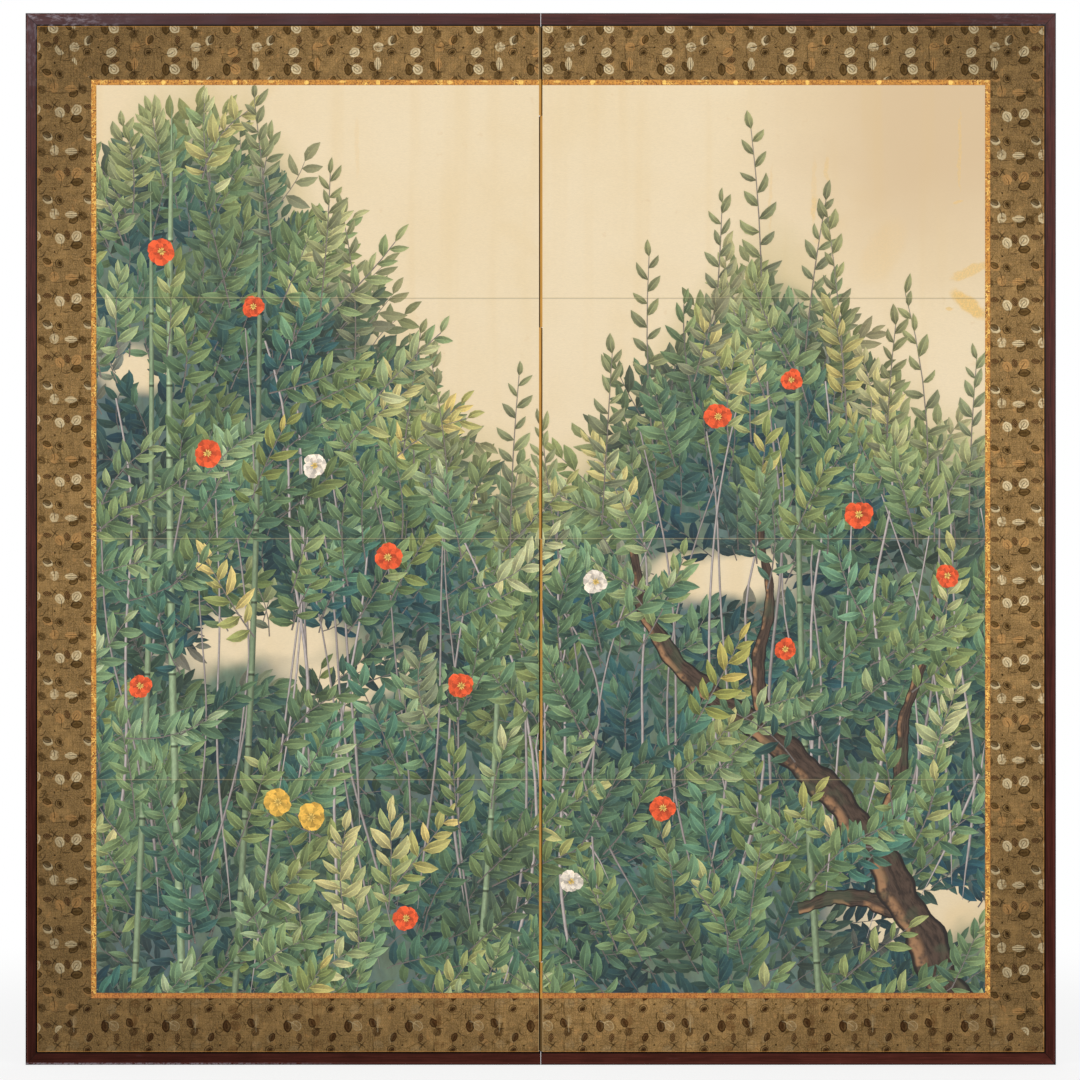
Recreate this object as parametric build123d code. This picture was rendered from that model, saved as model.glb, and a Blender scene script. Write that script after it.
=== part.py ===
"""Two-panel folding screen with paper hinges.

Each panel is a wooden lattice core under laminated paper skins, with a painting in four sheets,
a narrow gold border, a brocade border and a lacquered frame on its three outer sides.
Six paper bands join the panels. Each crosses the gap from the front of one panel to the back of
the other, so the screen folds both ways.

X runs to the viewer's right, -Y is the painted front and Z is up. The origin is under the middle of
the joint, on the floor, halfway through the thickness. The screen stands opened flat.
"""

import os

from build123d import *

# --- Driving dimensions, in millimetres ---------------------------------------------------------

# Whole screen
screen_height = 1720.0
panel_width = 842.5  # from the middle of the joint to the panel's outer side

# Lacquered frame
frame_depth = 20.0
frame_stile_width = 19.5
frame_rail_width = 21.5
frame_outer_round = 3.0
frame_inner_round = 1.2
rail_end_gap = 0.6  # between the rails of the two panels

# Joint between the panels
panel_gap = 5.6  # between the papered sides of the two panels
fold_clearance = 0.3  # between the frames of the panels when they are folded shut
web_thickness = 0.4
web_clearance = 0.3  # from a web to the side of either panel
band_pitch = 346.0  # height of a full hinge band
band_slit = 1.5  # between two neighbouring bands
band_end_clearance = 0.5  # from the end bands to the frame rails
hinge_band_count = 6  # the two end ones are trimmed
flap_reach = 35.0  # how far a band is glued onto a panel
flap_thickness = 0.35

# Wooden core
core_thickness = 15.8
core_outer_stile_width = 30.0
core_inner_stile_width = 38.0
core_rail_width = 30.0
tenon_length = 18.0
tenon_thickness = 5.0
tenon_shoulder = 6.0
lattice_slat_width = 12.0
lattice_upright_count = 4
lattice_crossbar_count = 10

# Papers and cloth
underlayer_thickness = 1.0
edge_paper_thickness = 0.3
painting_thickness = 0.4
gold_border_thickness = 0.5
brocade_thickness = 0.6
back_paper_thickness = 0.4
brocade_width = 87.5
gold_border_width = 9.0
painting_sheet_pitch = 394.0  # height of an untrimmed sheet
painting_sheet_count = 4

# Double-pointed nails between frame and core
nail_diameter = 2.4
nail_shank = 20.0
nail_point = 3.0
stile_nail_count = 5
rail_nail_count = 3

# --- Places worked out from them ----------------------------------------------------------------

panel_edge = panel_gap / 2
rail_end = rail_end_gap / 2
core_edge = panel_edge + edge_paper_thickness
core_side = panel_width - frame_stile_width
core_bottom = frame_rail_width
core_top = screen_height - frame_rail_width
middle_height = screen_height / 2

core_front = -core_thickness / 2
core_back = core_thickness / 2
skin_front = core_front - underlayer_thickness
skin_back = core_back + underlayer_thickness

gold_side = core_side - brocade_width
gold_bottom = core_bottom + brocade_width
gold_top = core_top - brocade_width
painting_side = gold_side - gold_border_width
painting_bottom = gold_bottom + gold_border_width
painting_top = gold_top - gold_border_width

lattice_left = core_edge + core_inner_stile_width
lattice_right = core_side - core_outer_stile_width
lattice_bottom = core_bottom + core_rail_width
lattice_top = core_top - core_rail_width


# --- Helpers ------------------------------------------------------------------------------------


def slab(x_limits, y_limits, z_limits):
    """Box between three pairs of limits."""
    limits = (x_limits, y_limits, z_limits)
    size = [high - low for low, high in limits]
    middle = [(high + low) / 2 for low, high in limits]
    return Pos(*middle) * Box(*size)


def plate(outline, front, back):
    """Flat piece between two depths, with a front-view outline of (x, z) points."""
    wire = Polyline(*[(x, front, z) for x, z in outline], close=True)
    return extrude(make_face(wire), amount=back - front, dir=(0, 1, 0))


def spread(low, high, count):
    """Middles of count equal pieces laid out evenly between two limits."""
    step = (high - low) / (count + 1)
    return [low + step * (index + 1) for index in range(count)]


def levels(low, high, pitch, count):
    """Ends of count pieces stacked between two heights, with joints at one pitch about the middle."""
    first = middle_height - pitch * (count / 2 - 1)
    joints = [first + pitch * step for step in range(count - 1)]
    return [low, *joints, high]


def spans(heights, slit=0.0):
    """Pairs of limits between neighbouring heights, from the top down, parted by a slit."""
    last = len(heights) - 2
    pairs = []
    for index in range(last, -1, -1):
        low = heights[index] + (slit / 2 if index > 0 else 0.0)
        high = heights[index + 1] - (slit / 2 if index < last else 0.0)
        pairs.append((low, high))
    return pairs


def group(solids):
    """Separate solids that share one node."""
    return Compound(children=list(solids))


# --- Frame --------------------------------------------------------------------------------------


def rounded(member, axis, across):
    """Frame member with its four long edges rounded, the outer pair more than the inner pair."""
    long_edges = member.edges().filter_by(axis).sort_by(across)
    member = fillet(long_edges[-2:], frame_outer_round)
    long_edges = member.edges().filter_by(axis).sort_by(across)
    return fillet(long_edges[:2], frame_inner_round)


def frame_stile():
    outline = [
        (panel_width, 0.0),
        (panel_width, screen_height),
        (core_side, core_top),
        (core_side, core_bottom),
    ]
    return rounded(plate(outline, -frame_depth / 2, frame_depth / 2), Axis.Z, Axis.X)


def frame_top_rail():
    outline = [
        (rail_end, screen_height),
        (panel_width, screen_height),
        (core_side, core_top),
        (rail_end, core_top),
    ]
    return rounded(plate(outline, -frame_depth / 2, frame_depth / 2), Axis.X, Axis.Z)


def frame_bottom_rail():
    return mirror(frame_top_rail(), Plane.XY.offset(middle_height))


def nail():
    """Double-pointed nail along Z, centred on the origin."""
    radius = nail_diameter / 2
    shank = Cylinder(radius, nail_shank)
    tip_middle = (nail_shank + nail_point) / 2
    upper_point = Pos(0, 0, tip_middle) * Cone(radius, 0.0, nail_point)
    lower_point = mirror(upper_point, Plane.XY)
    return shank + upper_point + lower_point


def frame_nails():
    """Nails half in the frame and half in the core, on the stile and on both rails."""
    heights = spread(lattice_bottom, lattice_top, stile_nail_count)
    sides = spread(lattice_left, lattice_right, rail_nail_count)
    in_stile = [Pos(core_side, 0, height) * Rot(0, 90, 0) * nail() for height in heights]
    in_rails = [Pos(side, 0, level) * nail() for level in (core_bottom, core_top) for side in sides]
    return in_stile + in_rails


# --- Core ---------------------------------------------------------------------------------------


def core_tenons(rail_low):
    """The two tenons of the core rail whose lower side is at rail_low."""
    y_limits = (-tenon_thickness / 2, tenon_thickness / 2)
    z_limits = (rail_low + tenon_shoulder, rail_low + core_rail_width - tenon_shoulder)
    inner = slab((lattice_left - tenon_length, lattice_left), y_limits, z_limits)
    outer = slab((lattice_right, lattice_right + tenon_length), y_limits, z_limits)
    return inner, outer


def core_rail(rail_low):
    inner, outer = core_tenons(rail_low)
    z_limits = (rail_low, rail_low + core_rail_width)
    body = slab((lattice_left, lattice_right), (core_front, core_back), z_limits)
    return body + inner + outer


def core_stile(x_limits, tenon_index):
    """Core stile with the mortises for the rails' tenons of that side."""
    stile = slab(x_limits, (core_front, core_back), (core_bottom, core_top))
    for rail_low in (core_bottom, lattice_top):
        stile -= core_tenons(rail_low)[tenon_index]
    return stile


def lattice_uprights():
    """Uprights, notched to half their thickness at the back where the crossbars pass."""
    half = lattice_slat_width / 2
    solids = []
    for middle in spread(lattice_left, lattice_right, lattice_upright_count):
        x_limits = (middle - half, middle + half)
        upright = slab(x_limits, (core_front, core_back), (lattice_bottom, lattice_top))
        for height in spread(lattice_bottom, lattice_top, lattice_crossbar_count):
            upright -= slab(x_limits, (0, core_back), (height - half, height + half))
        solids.append(upright)
    return solids


def lattice_crossbars():
    """Crossbars, notched to half their thickness at the front where the uprights pass."""
    half = lattice_slat_width / 2
    solids = []
    for height in spread(lattice_bottom, lattice_top, lattice_crossbar_count):
        z_limits = (height - half, height + half)
        crossbar = slab((lattice_left, lattice_right), (core_front, core_back), z_limits)
        for middle in spread(lattice_left, lattice_right, lattice_upright_count):
            crossbar -= slab((middle - half, middle + half), (core_front, 0), z_limits)
        solids.append(crossbar)
    return solids


# --- Hinge bands --------------------------------------------------------------------------------

band_heights = levels(
    core_bottom + band_end_clearance,
    core_top - band_end_clearance,
    band_pitch,
    hinge_band_count,
)
bands = spans(band_heights, band_slit)


def flap(z_limits, on_front):
    """The part of a band that is glued onto a panel, flush with the paper skin."""
    if on_front:
        y_limits = (skin_front, skin_front + flap_thickness)
    else:
        y_limits = (skin_back - flap_thickness, skin_back)
    return slab((panel_edge, panel_edge + flap_reach), y_limits, z_limits)


def web(z_limits, from_left_front):
    """The part of a band that crosses the gap, from one panel's front to the other's back."""
    reach = panel_edge - web_clearance
    near = reach - web_thickness
    slant = 1 if from_left_front else -1
    corners = [
        (-reach, slant * skin_front, z_limits[0]),
        (-near, slant * skin_front, z_limits[0]),
        (reach, slant * skin_back, z_limits[0]),
        (near, slant * skin_back, z_limits[0]),
    ]
    face = make_face(Polyline(*corners, close=True))
    return extrude(face, amount=z_limits[1] - z_limits[0], dir=(0, 0, 1))


# --- Papers and cloth ---------------------------------------------------------------------------


def under_paper(y_limits, flaps):
    """Laminated skin of one face, let in for the hinge flaps glued onto it."""
    skin = slab((core_edge, core_side), y_limits, (core_bottom, core_top))
    for strip in flaps:
        skin -= strip
    return skin


def painting_sheets():
    heights = levels(painting_bottom, painting_top, painting_sheet_pitch, painting_sheet_count)
    y_limits = (skin_front - painting_thickness, skin_front)
    return [slab((panel_edge, painting_side), y_limits, z_limits) for z_limits in spans(heights)]


def border(inner, outer, thickness):
    """Outer, top and bottom strips between two (side, bottom, top) outlines, mitred to each other."""
    (side_in, bottom_in, top_in), (side_out, bottom_out, top_out) = inner, outer
    outlines = {
        "outer": [
            (side_in, bottom_in),
            (side_out, bottom_out),
            (side_out, top_out),
            (side_in, top_in),
        ],
        "top": [
            (panel_edge, top_in),
            (side_in, top_in),
            (side_out, top_out),
            (panel_edge, top_out),
        ],
        "bottom": [
            (panel_edge, bottom_in),
            (side_in, bottom_in),
            (side_out, bottom_out),
            (panel_edge, bottom_out),
        ],
    }
    front = skin_front - thickness
    return {place: plate(outline, front, skin_front) for place, outline in outlines.items()}


# --- One panel, on the right of the joint -------------------------------------------------------


def panel(front_bands, back_bands):
    """All pieces of a panel by name. The bands are those glued onto its front and onto its back."""
    front_flaps = [flap(band, True) for band in front_bands]
    back_flaps = [flap(band, False) for band in back_bands]
    nails = frame_nails()
    pieces = {
        "core_inner_stile": core_stile((core_edge, lattice_left), 0),
        "core_outer_stile": core_stile((lattice_right, core_side), 1),
        "core_bottom_rail": core_rail(core_bottom),
        "core_top_rail": core_rail(lattice_top),
        "frame_outer_stile": frame_stile(),
        "frame_top_rail": frame_top_rail(),
        "frame_bottom_rail": frame_bottom_rail(),
    }
    nailed = [name for name in pieces if name != "core_inner_stile"]
    for name in nailed:
        for each in nails:
            pieces[name] -= each

    pieces["frame_nails"] = group(nails)
    pieces["lattice_uprights"] = group(lattice_uprights())
    pieces["lattice_crossbars"] = group(lattice_crossbars())
    pieces["front_underlayer"] = under_paper((skin_front, core_front), front_flaps)
    pieces["back_underlayer"] = under_paper((core_back, skin_back), back_flaps)
    pieces["hinge_flaps"] = group(front_flaps + back_flaps)
    pieces["edge_paper"] = slab(
        (panel_edge, core_edge),
        (skin_front + flap_thickness, skin_back - flap_thickness),
        (core_bottom, core_top),
    )
    pieces["back_paper"] = slab(
        (panel_edge, core_side),
        (skin_back, skin_back + back_paper_thickness),
        (core_bottom, core_top),
    )
    for number, sheet in enumerate(painting_sheets(), start=1):
        pieces[f"painting_sheet_{number}"] = sheet

    painting_outline = (painting_side, painting_bottom, painting_top)
    gold_outline = (gold_side, gold_bottom, gold_top)
    core_outline = (core_side, core_bottom, core_top)
    gold = border(painting_outline, gold_outline, gold_border_thickness)
    brocade = border(gold_outline, core_outline, brocade_thickness)
    for place in gold:
        pieces[f"gold_border_{place}"] = gold[place]
        pieces[f"brocade_{place}"] = brocade[place]
    return pieces


# --- The screen ---------------------------------------------------------------------------------

# Bands counted from the top: the odd ones start on the left panel's front, the even ones on the right's
odd_bands = bands[0::2]
even_bands = bands[1::2]

nodes = {}
for name, piece in panel(odd_bands, even_bands).items():
    nodes[f"left_{name}"] = mirror(piece, Plane.YZ)
for name, piece in panel(even_bands, odd_bands).items():
    nodes[f"right_{name}"] = piece
for number, band in enumerate(bands, start=1):
    nodes[f"hinge_web_{number}"] = web(band, from_left_front=number % 2 == 1)

os.makedirs("parts", exist_ok=True)
for name, piece in nodes.items():
    export_step(piece, f"parts/{name}.step")

pivot_depth = (frame_depth + fold_clearance) / 2
print(f"fold lines stand {pivot_depth} mm in front of and behind the middle of the thickness")
print(f"{len(nodes)} nodes")
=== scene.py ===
"""Finish of the two-panel folding screen: lacquer, woven borders, papers, and a painted garden.

The painting is a generic garden of camellia sprays and bamboo on a cream ground. Each brush stroke is a
thin film of pigment on the sheets, and the films are stacked in a few layers from far to near.
"""

import functools
import math

import bmesh
import bpy
import numpy as np
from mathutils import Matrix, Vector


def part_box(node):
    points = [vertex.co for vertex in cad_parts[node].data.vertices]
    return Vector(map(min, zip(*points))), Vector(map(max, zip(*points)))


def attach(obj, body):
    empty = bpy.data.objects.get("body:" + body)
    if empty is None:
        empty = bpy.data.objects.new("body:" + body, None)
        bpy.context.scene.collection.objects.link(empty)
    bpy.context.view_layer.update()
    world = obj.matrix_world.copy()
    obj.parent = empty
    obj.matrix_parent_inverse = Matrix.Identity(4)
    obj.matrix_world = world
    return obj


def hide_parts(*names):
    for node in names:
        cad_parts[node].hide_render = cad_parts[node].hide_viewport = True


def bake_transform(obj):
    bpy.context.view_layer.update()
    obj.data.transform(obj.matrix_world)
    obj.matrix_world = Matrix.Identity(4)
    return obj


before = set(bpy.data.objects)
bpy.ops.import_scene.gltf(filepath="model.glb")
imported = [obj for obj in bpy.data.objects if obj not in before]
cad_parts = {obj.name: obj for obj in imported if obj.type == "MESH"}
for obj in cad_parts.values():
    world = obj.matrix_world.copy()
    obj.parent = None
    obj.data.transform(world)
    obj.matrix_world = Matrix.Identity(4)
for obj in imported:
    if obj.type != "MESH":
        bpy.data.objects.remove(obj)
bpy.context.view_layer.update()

bl_info = {
    "name": "Folding screen finish",
    "version": (1, 0, 0),
    "blender": (4, 5, 0),
    "location": "View3D > Sidebar > Screen",
    "description": "Dresses the packed folding screen: lacquer, brocade, papers and painting",
    "category": "Object",
}

MM = 0.001
SIDES = ("left", "right")

# --- Places taken from the frame ---

_first_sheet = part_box("right_painting_sheet_1")
_last_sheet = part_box("right_painting_sheet_4")
_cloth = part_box("right_brocade_outer")
_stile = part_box("right_frame_outer_stile")

PANEL_EDGE = _first_sheet[0].x
PAINTING_SIDE = _first_sheet[1].x
PAINTING_TOP = _first_sheet[1].z
PAINTING_BOTTOM = _last_sheet[0].z
PAINTING_MIDDLE = (PAINTING_TOP + PAINTING_BOTTOM) / 2.0
PAINTING_HALF = (PAINTING_TOP - PAINTING_BOTTOM) / 2.0
PAPER_FRONT = _first_sheet[0].y
SEAMS = [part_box(f"right_painting_sheet_{number}")[0].z for number in (1, 2, 3)]
CLOTH_SIDE = _cloth[1].x
CLOTH_TOP = _cloth[1].z
CLOTH_BOTTOM = _cloth[0].z
SCREEN_SIDE = _stile[1].x
SCREEN_TOP = _stile[1].z
FRAME_FRONT = _stile[0].y

# Plan of a hinge band whose front edge is on the left: out of the front corner, then back through the joint
BAND_PATH = [
    (-PANEL_EDGE, PAPER_FRONT + 0.15 * MM),
    (-1.2 * MM, PAPER_FRONT + 0.20 * MM),
    (0.5 * MM, PAPER_FRONT + 0.60 * MM),
    (1.25 * MM, PAPER_FRONT + 2.2 * MM),
    (1.45 * MM, -2.5 * MM),
    (1.80 * MM, 3.0 * MM),
    (2.35 * MM, 7.2 * MM),
    (PANEL_EDGE, -PAPER_FRONT - 0.15 * MM),
]
# Depth at which a band is split in a front and a back piece, x up to which it bends at the front corner, its
# thickness, and how far it laps its neighbours up and down
BAND_SPLIT = -2.5 * MM
BAND_FOLD = 0.5 * MM
BAND_PAPER = 0.28 * MM
BAND_LAP = 0.68 * MM
# Points along the path, and points of its bend at the back corner
BAND_POINTS, BAND_TAIL = 36, 6

# --- Layout of the painted garden, in metres ---

# Upper outline of the foliage, from the left border to the right one
CANOPY = [
    (-0.75, 1.40), (-0.66, 1.50), (-0.575, 1.57), (-0.50, 1.53), (-0.42, 1.44), (-0.34, 1.33),
    (-0.27, 1.18), (-0.19, 1.07), (-0.10, 0.97), (-0.01, 0.93), (0.07, 0.97), (0.15, 1.06),
    (0.23, 1.18), (0.31, 1.27), (0.38, 1.30), (0.46, 1.23), (0.53, 1.12), (0.61, 1.03), (0.75, 0.99),
]  # fmt: skip
# Drifts of mist: middle x, middle z, half width, half height
MIST = [
    (-0.46, 0.70, 0.150, 0.052),
    (-0.31, 0.635, 0.130, 0.040),
    (0.30, 0.80, 0.120, 0.045),
    (0.63, 0.25, 0.130, 0.060),
    (-0.66, 1.13, 0.060, 0.040),
]
# Trunk and limbs: x, z and half width of each point
TRUNK = [
    [
        (0.69, 0.06, 0.036), (0.62, 0.22, 0.031), (0.54, 0.36, 0.027), (0.45, 0.47, 0.024),
        (0.35, 0.555, 0.021), (0.25, 0.63, 0.017), (0.175, 0.73, 0.012), (0.15, 0.85, 0.005),
    ],
    [
        (0.54, 0.35, 0.015), (0.585, 0.46, 0.012), (0.595, 0.57, 0.009),
        (0.63, 0.67, 0.006), (0.645, 0.77, 0.003),
    ],
    [
        (0.37, 0.54, 0.014), (0.355, 0.65, 0.011), (0.375, 0.76, 0.008),
        (0.36, 0.87, 0.005), (0.375, 0.97, 0.002),
    ],
    [(0.60, 0.25, 0.017), (0.50, 0.275, 0.013), (0.42, 0.255, 0.009)],
]  # fmt: skip
# Bamboo culms: x at the foot, lean per metre of height, top z, half width
CULMS = [
    (-0.665, 0.020, 1.47, 0.0052),
    (-0.585, -0.012, 1.585, 0.0062),
    (-0.500, 0.030, 1.50, 0.0054),
    (-0.105, 0.045, 0.99, 0.0048),
    (0.455, -0.030, 1.27, 0.0056),
]
CULM_JOINT = 0.118
# Tall shoots above the canopy: x, length and lean
SHOOTS = [
    (-0.70, 0.20, 0.10), (-0.44, 0.24, -0.12), (-0.36, 0.22, 0.08), (-0.305, 0.27, -0.05),
    (-0.225, 0.20, 0.14), (-0.15, 0.25, -0.10), (-0.05, 0.30, 0.04), (0.03, 0.22, -0.14),
    (0.10, 0.28, 0.06), (0.185, 0.33, -0.04), (0.275, 0.30, 0.08), (0.36, 0.36, -0.03),
    (0.43, 0.28, 0.12), (0.50, 0.34, -0.08), (0.565, 0.25, 0.05), (0.63, 0.36, -0.06), (0.70, 0.27, 0.04),
]  # fmt: skip
# Middles of the bushes, from which their sprays fan out: x and z
BUSHES = np.array([
    (-0.62, 0.95), (-0.38, 0.62), (-0.58, 0.12), (-0.12, 0.35), (0.12, 0.45),
    (0.34, 0.72), (0.60, 0.35), (0.30, 0.05), (-0.30, 0.10), (0.64, 0.70),
])  # fmt: skip
# Open blossoms: x, z, petal length and kind
BLOSSOMS = [
    (-0.62, 1.33, 0.022, "red"), (-0.47, 1.24, 0.019, "red"), (-0.545, 1.00, 0.023, "red"),
    (-0.37, 0.98, 0.020, "white"), (-0.25, 0.83, 0.023, "red"), (-0.655, 0.62, 0.020, "red"),
    (-0.13, 0.62, 0.022, "red"), (-0.43, 0.43, 0.023, "yellow"), (-0.375, 0.405, 0.024, "yellow"),
    (0.09, 0.79, 0.020, "white"), (0.29, 1.06, 0.022, "red"), (0.41, 1.12, 0.018, "red"),
    (0.52, 0.90, 0.023, "red"), (0.665, 0.80, 0.020, "red"), (0.20, 0.42, 0.022, "red"),
    (0.05, 0.30, 0.019, "white"), (0.40, 0.68, 0.019, "red"), (-0.22, 0.24, 0.021, "red"),
]  # fmt: skip

# Old stains of the paper: middle x, middle z, half length, half width, turn in degrees and strength
STAINS = [
    (0.702, 1.298, 0.033, 0.0085, 24.0, 0.70), (0.700, 1.243, 0.036, 0.0125, -38.0, 0.95),
    (0.668, 1.236, 0.006, 0.003, 0.0, 0.7), (0.681, 1.411, 0.009, 0.0025, 10.0, 0.55),
    (0.685, 1.495, 0.068, 0.0028, 90.0, 0.42), (0.468, 1.462, 0.024, 0.004, 90.0, 0.36),
    (0.447, 1.425, 0.060, 0.0045, 90.0, 0.24), (0.446, 1.402, 0.020, 0.005, 90.0, 0.36),
    (0.376, 1.415, 0.055, 0.003, 88.0, 0.26), (0.460, 1.347, 0.017, 0.006, 0.0, 0.26),
    (0.560, 1.330, 0.060, 0.030, 60.0, 0.16), (-0.300, 1.500, 0.050, 0.004, 90.0, 0.18),
]  # fmt: skip

# Depth of each layer of pigment in front of the paper, and the thickness over which its strokes stack
LAYERS = {
    "far_leaves": (0.040 * MM, 0.140 * MM),
    "middle_leaves": (0.200 * MM, 0.140 * MM),
    "stems": (0.355 * MM, 0.050 * MM),
    "culms": (0.412 * MM, 0.008 * MM),
    "trunk": (0.426 * MM, 0.010 * MM),
    "near_sprays": (0.445 * MM, 0.140 * MM),
    "blossoms": (0.600 * MM, 0.060 * MM),
}

# Sprays of each leafy layer: spacing, leaves on a spray, its length, leaf length, tone from 0 (shadow)
# to 1 (pale), how far it leans, half width of its twig, share of cover it needs, patchiness and how much
# it pales in the lit clumps
SPRAYS = {
    "far_leaves": (0.040, 7, 0.085, 0.040, 0.17, 1.5, 0.0009, 0.45, -2.0, 0.0),
    "middle_leaves": (0.045, 9, 0.112, 0.040, 0.36, 1.2, 0.0011, 0.50, -0.45, 0.25),
    "near_sprays": (0.060, 11, 0.150, 0.041, 0.56, 1.0, 0.0014, 0.60, -0.05, 0.50),
}
# Clumps of leaves in full light: middle x, middle z and radius
LIT_CLUMPS = [(-0.40, 0.20, 0.075), (-0.29, 0.33, 0.060), (-0.03, 0.16, 0.065), (0.62, 0.56, 0.055)]
# Levels of stacking: sprays by their column and row in the lattice, and leaves by their turn on a twig
SPRAY_COLUMNS, SPRAY_ROWS, SUB_LEVELS = 3, 5, 6
# Strokes of one level that share a cell this wide are twins. Levels are told apart to a ten-thousandth, and
# cells by numbers under the span
TWIN_CELL = 5.0 * MM
LEVEL_RANKS, CELL_SPAN = 1e4, 4096
# Quads of strokes under this area, in square metres, are left out
SMALLEST_QUAD = 2e-8
# Number of stems, and how many levels apart neighbours stack
STEM_COUNT, STEM_STRIDE = 46, 17
# Whorls of a blossom: petals, share of its size and level. Then its number of stamens and their level
WHORLS = [(6, 1.0, 0.0), (5, 0.68, 0.35)]
STAMENS, STAMEN_LEVEL = 9, 0.75
# Straight steps of a twig
TWIG_STEPS = 5
# Leaves on a tall shoot, length of one, and half width of the shoot
SHOOT_LEAVES, SHOOT_LEAF, SHOOT_HALF = 17, 0.036, 0.0013


# --- Settings ---


def length(name, description, default):
    """A size in metres that a user may change."""
    return bpy.props.FloatProperty(
        name=name, description=description, default=default, min=0.0, unit="LENGTH", precision=5
    )


def quantity(name, description, default):
    """A number that a user may change."""
    return bpy.props.FloatProperty(name=name, description=description, default=default)


def colour(name, description, default):
    """A linear colour that a user may change."""
    return bpy.props.FloatVectorProperty(
        name=name, description=description, default=default, subtype="COLOR", size=3, min=0.0, max=1.0
    )


class LacquerSettings(bpy.types.PropertyGroup):
    """Colours of the lacquered frame."""

    body: colour("Body", "Brown-red lacquer of the front faces", (0.086, 0.022, 0.0155))
    shade: colour("Shade", "Lacquer in the grain and low on the frame", (0.034, 0.0085, 0.0055))
    # Painted highlight: a dull violet sheen laid into the colour of the upper rails
    bloom: colour("Highlight", "Dull violet bloom on the upper rails", (0.074, 0.037, 0.041))
    # This near-black is painted shade on the outer rounding and the inner lip, and the colour of the dark
    # mitre joint
    edge: colour("Edge", "Near-black lacquer of the outer sides", (0.011, 0.005, 0.004))
    worn: colour("Worn", "Pale rubbed places at the corners", (0.27, 0.225, 0.25))


class ClothSettings(bpy.types.PropertyGroup):
    """Sizes and colours of the woven borders."""

    repeat_along: length("Repeat along", "Length of the brocade's repeat along a strip", 0.0994)
    repeat_across: length("Repeat across", "Length of the repeat across a strip", 0.067)
    ground: colour("Ground", "Olive-brown ground weave", (0.282, 0.168, 0.060))
    cream: colour("Cream thread", "Pale pattern thread", (0.67, 0.54, 0.315))
    ochre: colour("Ochre thread", "Pattern thread of some repeats", (0.52, 0.27, 0.090))
    brown: colour("Brown thread", "Dark pattern thread", (0.080, 0.042, 0.0095))
    ink: colour("Outline thread", "Darkest outline thread", (0.021, 0.010, 0.0022))
    gold: colour("Gold border", "Orange-gold ground of the inner border", (0.64, 0.285, 0.052))
    gold_light: colour("Gold glint", "Bright gilt thread of the inner border", (0.94, 0.575, 0.135))


class PaperSettings(bpy.types.PropertyGroup):
    """Colours of the papers."""

    sky: colour("Sky", "Cream ground of the painting", (0.836, 0.688, 0.462))
    stain: colour("Stain", "Golden stains in the cream ground", (0.72, 0.50, 0.20))
    toning: colour("Toning", "Tan toning of the upper right sheets", (0.68, 0.505, 0.305))
    wash: colour("Wash", "Green wash under the foliage", (0.085, 0.150, 0.105))
    wash_blue: colour("Blue wash", "Blue-green pools in the wash", (0.045, 0.110, 0.125))
    back: colour("Back", "Dull green paper of the back", (0.105, 0.130, 0.085))
    back_print: colour("Back print", "Mica print on the back paper", (0.235, 0.245, 0.165))
    hinge: colour("Hinge", "Gold-toned paper of the hinges", (0.66, 0.335, 0.070))


class GardenSettings(bpy.types.PropertyGroup):
    """Sizes and colours of the painted garden."""

    seed: bpy.props.IntProperty(name="Seed", description="Seed of the scatter of strokes", default=11)
    leaf_shadow: colour("Leaf shadow", "Darkest teal leaves", (0.016, 0.040, 0.045))
    leaf_dark: colour("Leaf dark", "Blue-green leaves", (0.036, 0.091, 0.084))
    leaf_green: colour("Leaf green", "Middle green leaves", (0.105, 0.188, 0.097))
    leaf_light: colour("Leaf light", "Light green leaves", (0.255, 0.350, 0.150))
    leaf_pale: colour("Leaf pale", "Pale yellow leaves", (0.60, 0.56, 0.270))
    olive: colour("Olive", "Ochre-green leaves at the edge of the canopy", (0.250, 0.242, 0.095))
    stem: colour("Stem", "Lilac-grey stems", (0.300, 0.262, 0.245))
    bamboo: colour("Bamboo", "Grey-green culms", (0.215, 0.285, 0.165))
    bark: colour("Bark", "Brown trunk", (0.095, 0.060, 0.042))
    red: colour("Vermilion", "Red blossoms", (0.82, 0.105, 0.028))
    yellow: colour("Gamboge", "Yellow blossoms", (0.86, 0.50, 0.085))
    white: colour("Shell white", "White blossoms", (0.86, 0.76, 0.64))


class StageSettings(bpy.types.PropertyGroup):
    """Camera, floor and lights."""

    camera_distance: length("Camera distance", "From the painting to the camera", 7.6)
    view_width: length("View width", "Width of the picture at the painting", 1.7656)
    view_x: quantity("View x", "Middle of the picture", -0.0012)
    view_z: length("View height", "Height of the camera and of the middle of the picture", 0.8583)
    sky_light: quantity("Sky light", "Strength of the even light", 0.60)
    key_light: quantity("Key light", "Power of each softbox in watts", 62.0)


# --- Shader helpers ---


class Wire:
    """A value that leaves a node. A sum or product of wires places the Math node that works it out."""

    def __init__(self, tree, socket):
        self.tree = tree
        self.socket = socket

    def __abs__(self):
        """Size of the value without its sign."""
        return self.tree.math("ABSOLUTE", self)


def sign_of(operation, swapped=False):
    """Method of a wire that places a Math node for one sign, with its two sides swapped or not."""

    def method(wire, other):
        """Places the Math node and gives its wire."""
        sides = (other, wire) if swapped else (wire, other)
        return wire.tree.math(operation, *sides)

    return method


for _sign, _operation in {"add": "ADD", "sub": "SUBTRACT", "mul": "MULTIPLY", "truediv": "DIVIDE"}.items():
    setattr(Wire, f"__{_sign}__", sign_of(_operation))
    setattr(Wire, f"__r{_sign}__", sign_of(_operation, swapped=True))


class Wires:
    """The values that leave a node, by name, by number or in turn."""

    def __init__(self, tree, node):
        self.tree = tree
        self.outputs = node.outputs

    def __getitem__(self, key):
        """One value, by its name or number."""
        return Wire(self.tree, self.outputs[key])


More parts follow.
